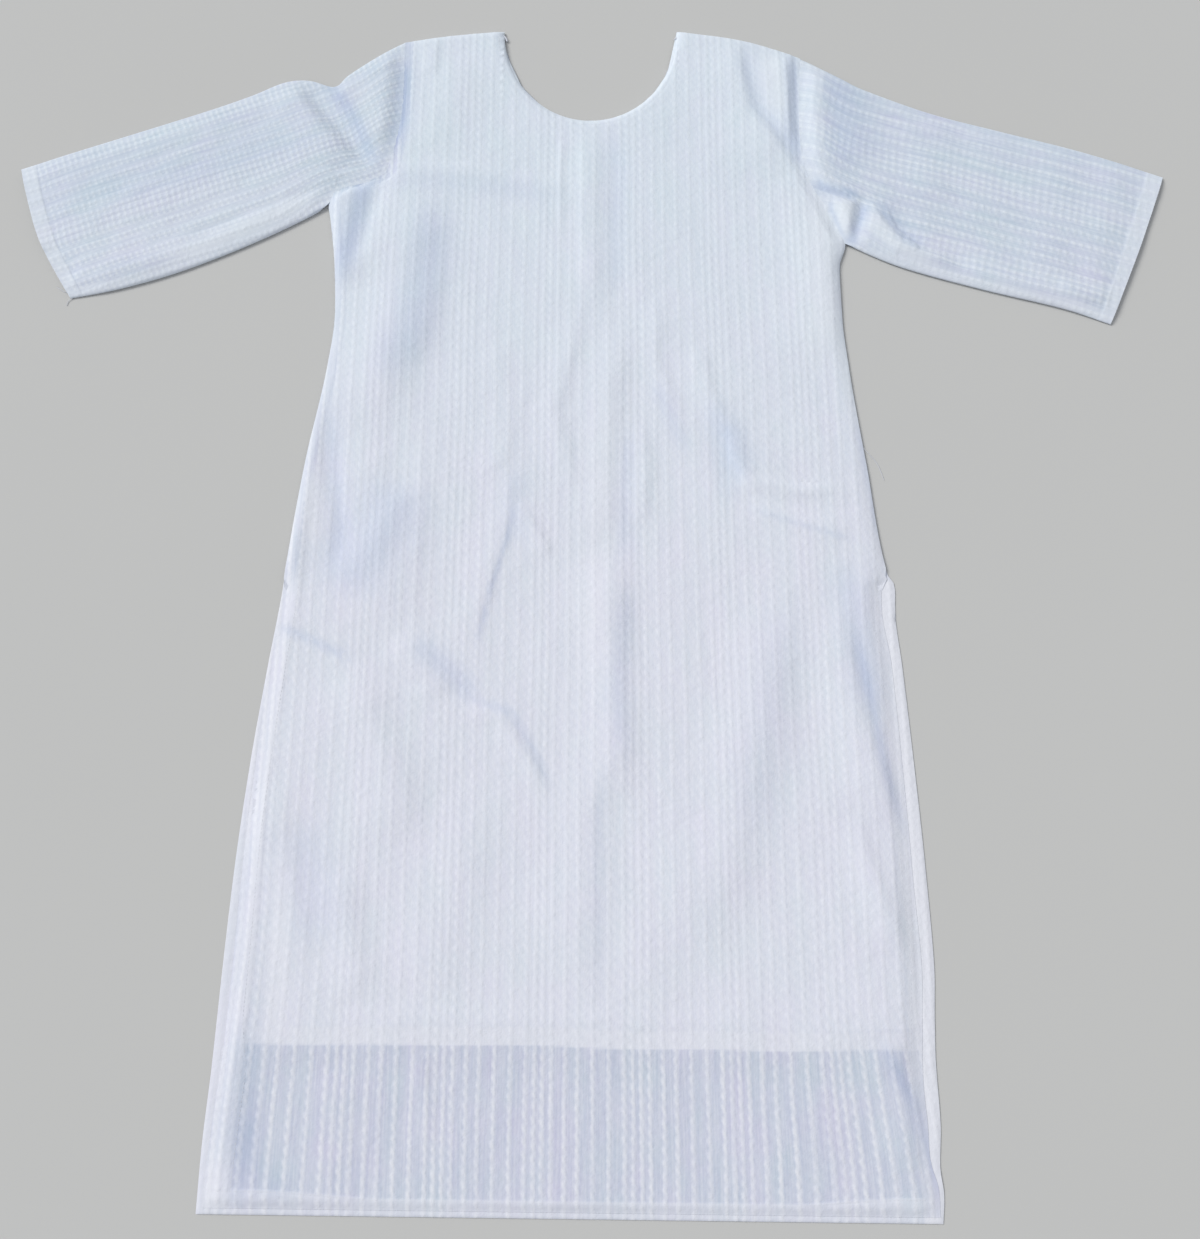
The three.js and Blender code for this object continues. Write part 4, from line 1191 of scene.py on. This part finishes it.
def build_body_panel(name, node, fields_of, rows, shares, columns, rise, inset, underside, every):
    """One body panel as a closed wall."""
    settings = bpy.context.scene.kurti_cloth
    x, y = body_grid(columns, rows, shares, rise, inset)
    u, v = body_cloth(x, y)
    top, sheer, doubled_and_painted_light, shade = fields_of(x, y)
    crinkle, beat = puckers(u, v, 0.0)
    relief = settings.pucker * crinkle * (1.0 - 0.6 * doubled_and_painted_light)
    relief = relief * (0.1 + 0.9 * smooth(0.5, 4.5, np.abs(free_edge(x, y))))
    under = underside(top, x, y)
    top = top + relief
    points, quads, triangles, source = closed_panel(x, y, top, under, every)
    uv = np.stack([u, v], -1).reshape(-1, 2)[source]
    fields = {"sheer": sheer.ravel()[source], "doubled_and_painted_light": doubled_and_painted_light.ravel()[source],
              "shade": shade.ravel()[source], "beat": beat.ravel()[source]}
    piece = make_piece(name, points, quads, triangles, uv, fields,
                       cloth_material("striped_cotton"))
    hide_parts(node)
    return piece


class KURTI_OT_front(bpy.types.Operator):
    """Builds the front panel with its folds, puckered lines, hem and slit hems"""

    bl_idname = "kurti.front"
    bl_label = "Front"

    def execute(self, context):
        piece = build_body_panel(
            "front_cloth", "front", front_fields, level_rows(3.1), upper_shares(3.6),
            body_columns(2.6), FRONT_HEM_RISE, FRONT_INSET, front_underside, 5)
        sewing = make_stitches("front_stitches", *front_sewing())
        tails = make_threads("neck_seam_ends", 0.9, *NECK_SEAM_ENDS)
        loose = make_threads("side_seam_thread", 0.22, SIDE_SEAM_THREAD)
        return {"FINISHED"}


class KURTI_OT_back(bpy.types.Operator):
    """Builds the back panel, flat below, with its hem and slit hems"""

    bl_idname = "kurti.back"
    bl_label = "Back"

    def execute(self, context):
        piece = build_body_panel(
            "back_cloth", "back", back_fields, level_rows(6.2), upper_shares(6.0),
            body_columns(2.6), 0.0, None, lambda top, x, y: np.zeros_like(top), 4)
        return {"FINISHED"}


class KURTI_OT_linings(bpy.types.Operator):
    """Builds the two plain linings between front and back"""

    bl_idname = "kurti.linings"
    bl_label = "Linings"

    def execute(self, context):
        material = lining_material(tuple(context.scene.kurti_cloth.lining))
        columns = body_columns(9.0)[::3]
        columns[0], columns[-1] = -OUTER_LEFT, OUTER_RIGHT
        for name, hem, level in (("front_lining", LINING_HEM, FRONT_LINING_LEVEL),
                                 ("back_lining", BACK_LINING_HEM, BACK_LINING_LEVEL)):
            rows = np.concatenate([[hem, hem + LINING_BAND, hem + LINING_BAND + 1.0],
                                   np.arange(150.0, STRAIGHT_ROWS_END, 15.0), [STRAIGHT_ROWS_END]])
            x, y = body_grid(columns, rows, np.linspace(0.1, 1.0, 10), 0.0, LINING_INSET,
                             LINING_TOP_TRIM)
            band = 1.0 - smooth(12.4, 13.6, y - hem)
            top = level + LINING_CLOTH + 0.15 * band + 0.06 * drift(x, y, 8, 90.0)
            points, quads, triangles, source = closed_panel(x, y, top, np.full_like(top, level), 1)
            uv = np.stack([x, y], -1).reshape(-1, 2)[source]
            piece = make_piece(name + "_cloth", points, quads, triangles, uv, {}, material)
            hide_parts(name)
        return {"FINISHED"}


def sleeve_shape(plan):
    """Ring grid of a flattened sleeve, from armhole to cuff: the upper wall from the under
    edge to the over edge, then the lower wall back. Both walls close in quarter rounds.
    Gives the points, cloth coordinates, fields, the distance from the armhole seam, and the
    number of upper columns."""
    edges, seed, seam_level = plan["edges"], plan["seed"], plan["seam_level"]
    stations = np.unique(np.concatenate([
        np.linspace(0.0, 1.0, SLEEVE_ROWS), [0.006, 0.012, 0.962, 0.9655, 0.969]]))
    rounds = 0.5 - 0.5 * np.cos(np.linspace(0.0, math.pi, 9))[1:-1]
    fine = np.concatenate([[0.0], 0.035 * rounds[:4], np.linspace(0.035, 0.965, SLEEVE_COLUMNS),
                           1.0 - 0.035 * rounds[3::-1], [1.0]])
    coarse = np.concatenate([[0.985], np.linspace(0.955, 0.045, LOWER_COLUMNS), [0.015]])
    around = np.concatenate([fine, coarse])
    is_upper = np.concatenate([np.ones(len(fine), bool), np.zeros(len(coarse), bool)])
    x, y = sleeve_grid(edges, stations, around)
    under = spline(edges["under"], stations)
    over = spline(edges["over"], stations)
    width = np.hypot(*(over - under).T)[:, None]
    inside = np.minimum(around, 1.0 - around)[None] * width
    length = np.hypot(*(0.5 * (edges["cuff"][0] + edges["cuff"][-1]
                               - edges["armhole"][0] - edges["armhole"][-1])))
    from_seam, _, _ = along_path(edges["seam"], x, y)
    from_cuff = (1.0 - stations)[:, None] * length + np.zeros_like(x)

    lift = (folds(plan["folds"], x, y) + 0.5 * drift(x, y, seed, 95.0)
            + 0.2 * drift(x, y, seed + 1, 34.0))
    full = SLEEVE_HEIGHT + np.maximum(lift, -3.0 + 0.15 * lift)
    full = SLEEVE_EDGE + (full - SLEEVE_EDGE) * smooth(-6.0, 20.0, inside)
    full = seam_level + (full - seam_level) * smooth(-2.0, plan["seam_radius"], from_seam)
    full = full - 1.4 * (1.0 - smooth(0.0, 40.0, from_cuff))
    half = full * 0.45
    at_seam = (1.0 - smooth(2.0, 14.0, from_seam)) * (around < 0.5)[None]
    edge = rounded(inside, EDGE_RADIUS)
    upper = half + (full - half) * (edge + (1.0 - edge) * at_seam)
    lower = half * (1.0 - rounded(inside, EDGE_RADIUS * 0.6))
    lower = np.maximum(lower, 0.7 * (1.0 - smooth(0.0, 25.0, from_seam)))
    z = np.where(is_upper[None], upper, lower)

    cosine, sine = math.cos(plan["turn"]), math.sin(plan["turn"])
    along = x * cosine + y * sine
    across = -x * sine + y * cosine
    bend = -15.0 * (1.0 - smooth(0.0, 75.0, from_seam)) ** 2
    u = across + bend + 0.6 * drift(x, y, seed + 2, 120.0)
    crinkle, beat = puckers(u, along, seed, plan["dots"], plan["steady"])
    band = 1.0 - smooth(CUFF_BAND - 0.6, CUFF_BAND + 0.6, from_cuff)
    seam_band = 1.0 - smooth(plan["allowance"] - 1.0, plan["allowance"] + 1.0, from_seam)
    edge_band = 1.0 - smooth(7.0, 12.0, np.broadcast_to(around[None] * width, x.shape))
    edge_band = edge_band * smooth(4.0, 30.0, from_seam)
    # Painted light from the lights table joins the cuff hem, seam allowance and folded edge; painted
    # shade comes from the shades table.
    lights = np.clip(folds(plan["lights"], x, y), 0.0, 1.0)
    doubled_and_painted_light = np.maximum.reduce([0.45 * band, 0.3 * seam_band, 0.45 * edge_band, lights])
    shade = np.clip(folds(plan["shades"], x, y), 0.0, 1.0)
    relief = bpy.context.scene.kurti_cloth.pucker * crinkle * (1.0 - 0.5 * doubled_and_painted_light)
    relief = relief * (0.3 + 0.7 * smooth(1.0, 13.0, from_seam))
    z = z + np.where(is_upper[None], (relief + 0.4 * band) * edge, 0.0)
    fields = {"sheer": np.full(x.size, plan["sheer"]), "doubled_and_painted_light": doubled_and_painted_light.ravel(),
              "shade": shade.ravel(), "beat": beat.ravel()}
    return np.stack([x, y, z], -1), np.stack([u, along], -1), fields, from_seam, len(fine)


class KURTI_OT_sleeves(bpy.types.Operator):
    """Builds both sleeves as flattened tubes, open at the cuffs"""

    bl_idname = "kurti.sleeves"
    bl_label = "Sleeves"

    def execute(self, context):
        for node, plan in SLEEVES.items():
            points, uv, fields, from_seam, upper = sleeve_shape(plan)
            rows, ring = from_seam.shape
            side = plan["side"]
            points, uv = points.reshape(-1, 3), uv.reshape(-1, 2)
            points[:, 0] -= side * 0.6 * (1.0 - smooth(0.0, 8.0, from_seam.ravel()))
            corner = np.arange(rows * ring).reshape(rows, ring)
            quads = ring_quads(corner)
            if side > 0:
                quads = quads[:, ::-1]
            rims = np.concatenate([corner[0], corner[-1]])
            material = cloth_material("striped_cotton_" + node, plan["dots"], plan["swing"],
                                      plan["ghost"])
            piece = make_piece(node + "_cloth", points, quads, np.empty((0, 3), int), uv, fields,
                               material, rims)
            wall = piece.modifiers.new("wall", "SOLIDIFY")
            wall.thickness = CLOTH * MM
            wall.offset = -1.0
            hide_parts(node)
            row = np.abs(from_seam[:, 0] - from_seam.max() + CUFF_BAND - 1.3).argmin()
            path = points.reshape(rows, ring, 3)[row, 6:upper - 6]
            sewing = [make_stitches(node + "_cuff_stitches", path)]
            if side < 0:
                sewing.append(make_threads("sleeve_left_thread_ends", 0.25, *CUFF_THREADS))
        return {"FINISHED"}


class KURTI_OT_stage(bpy.types.Operator):
    """Builds the floor, the light, the sky and the camera"""

    bl_idname = "kurti.stage"
    bl_label = "Stage"

    def execute(self, context):
        scene = context.scene
        settings = scene.kurti_stage
        add_floor(tuple(settings.floor))
        add_light("key", KEY_FROM, KEY_SPREAD, settings.key_power, KEY_COLOUR)
        world = bpy.data.worlds.new("soft_sky")
        world.use_nodes = True
        sky = world.node_tree.nodes["Background"]
        sky.inputs[0].default_value = SKY_COLOUR
        sky.inputs[1].default_value = SKY_STRENGTH
        scene.world = world
        scene.view_settings.view_transform = "Standard"
        add_camera(scene)
        return {"FINISHED"}


def add_floor(colour):
    """A wide plain floor under the garment."""
    nodes = Nodes("floor_plain")
    place = nodes.node("ShaderNodeTexCoord").outputs["Object"]
    patchy = nodes.mix(nodes.noise(place, 3.0), darker(colour, 0.97), colour)
    material = nodes.surface(patchy, 0.9)
    corners = [(a * FLOOR_REACH, b * FLOOR_REACH, FLOOR_LEVEL)
               for a, b in ((-1, -1), (1, -1), (1, 1), (-1, 1))]
    mesh = bpy.data.meshes.new("floor")
    mesh.from_pydata(corners, [], [(0, 1, 2, 3)])
    mesh.materials.append(material)
    floor = bpy.data.objects.new("floor", mesh)
    bpy.context.scene.collection.objects.link(floor)


def add_light(name, towards, spread, power, colour):
    """A wide distant light that shines from the given direction."""
    light = bpy.data.lights.new(name, "SUN")
    light.angle = spread
    light.energy = power
    light.color = colour
    lamp = bpy.data.objects.new(name, light)
    lamp.location = towards
    flat = math.hypot(towards[0], towards[1])
    lamp.rotation_euler = (math.atan2(flat, towards[2]), 0.0, math.atan2(towards[0], -towards[1]))
    bpy.context.scene.collection.objects.link(lamp)


def add_camera(scene):
    """The camera stands over the skirt and looks down, tipped towards the neck."""
    lens = bpy.data.cameras.new("camera")
    lens.lens = CAMERA_LENS
    lens.sensor_width = 36.0
    lens.sensor_fit = "AUTO"
    camera = bpy.data.objects.new("camera", lens)
    camera.location = (*((np.array(CAMERA_OVER) + MIDDLE[:2]) * MM), CAMERA_HEIGHT)
    camera.rotation_euler = (CAMERA_TILT, 0.0, 0.0)
    scene.collection.objects.link(camera)
    scene.camera = camera


class KURTI_PT_panel(bpy.types.Panel):
    """Lists the kurti's pieces and settings"""

    bl_idname = "KURTI_PT_panel"
    bl_label = "Kurti"
    bl_space_type = "VIEW_3D"
    bl_region_type = "UI"
    bl_category = "Kurti"

    def draw(self, context):
        for settings in (context.scene.kurti_cloth, context.scene.kurti_stage):
            for name in settings.bl_rna.properties.keys():
                if name not in ("rna_type", "name"):
                    self.layout.prop(settings, name)
        for operator in OPERATORS:
            self.layout.operator(operator.bl_idname)


OPERATORS = (KURTI_OT_back, KURTI_OT_linings, KURTI_OT_front, KURTI_OT_sleeves, KURTI_OT_stage)
CLASSES = (KurtiClothSettings, KurtiStageSettings, *OPERATORS, KURTI_PT_panel)


def register():
    for cls in CLASSES:
        bpy.utils.register_class(cls)
    bpy.types.Scene.kurti_cloth = bpy.props.PointerProperty(type=KurtiClothSettings)
    bpy.types.Scene.kurti_stage = bpy.props.PointerProperty(type=KurtiStageSettings)


def unregister():
    del bpy.types.Scene.kurti_stage
    del bpy.types.Scene.kurti_cloth
    for cls in reversed(CLASSES):
        bpy.utils.unregister_class(cls)


def main():
    """Builds everything."""
    register()
    bpy.ops.kurti.back()
    bpy.ops.kurti.linings()
    bpy.ops.kurti.front()
    bpy.ops.kurti.sleeves()
    bpy.ops.kurti.stage()


if __name__ == "__main__":
    main()
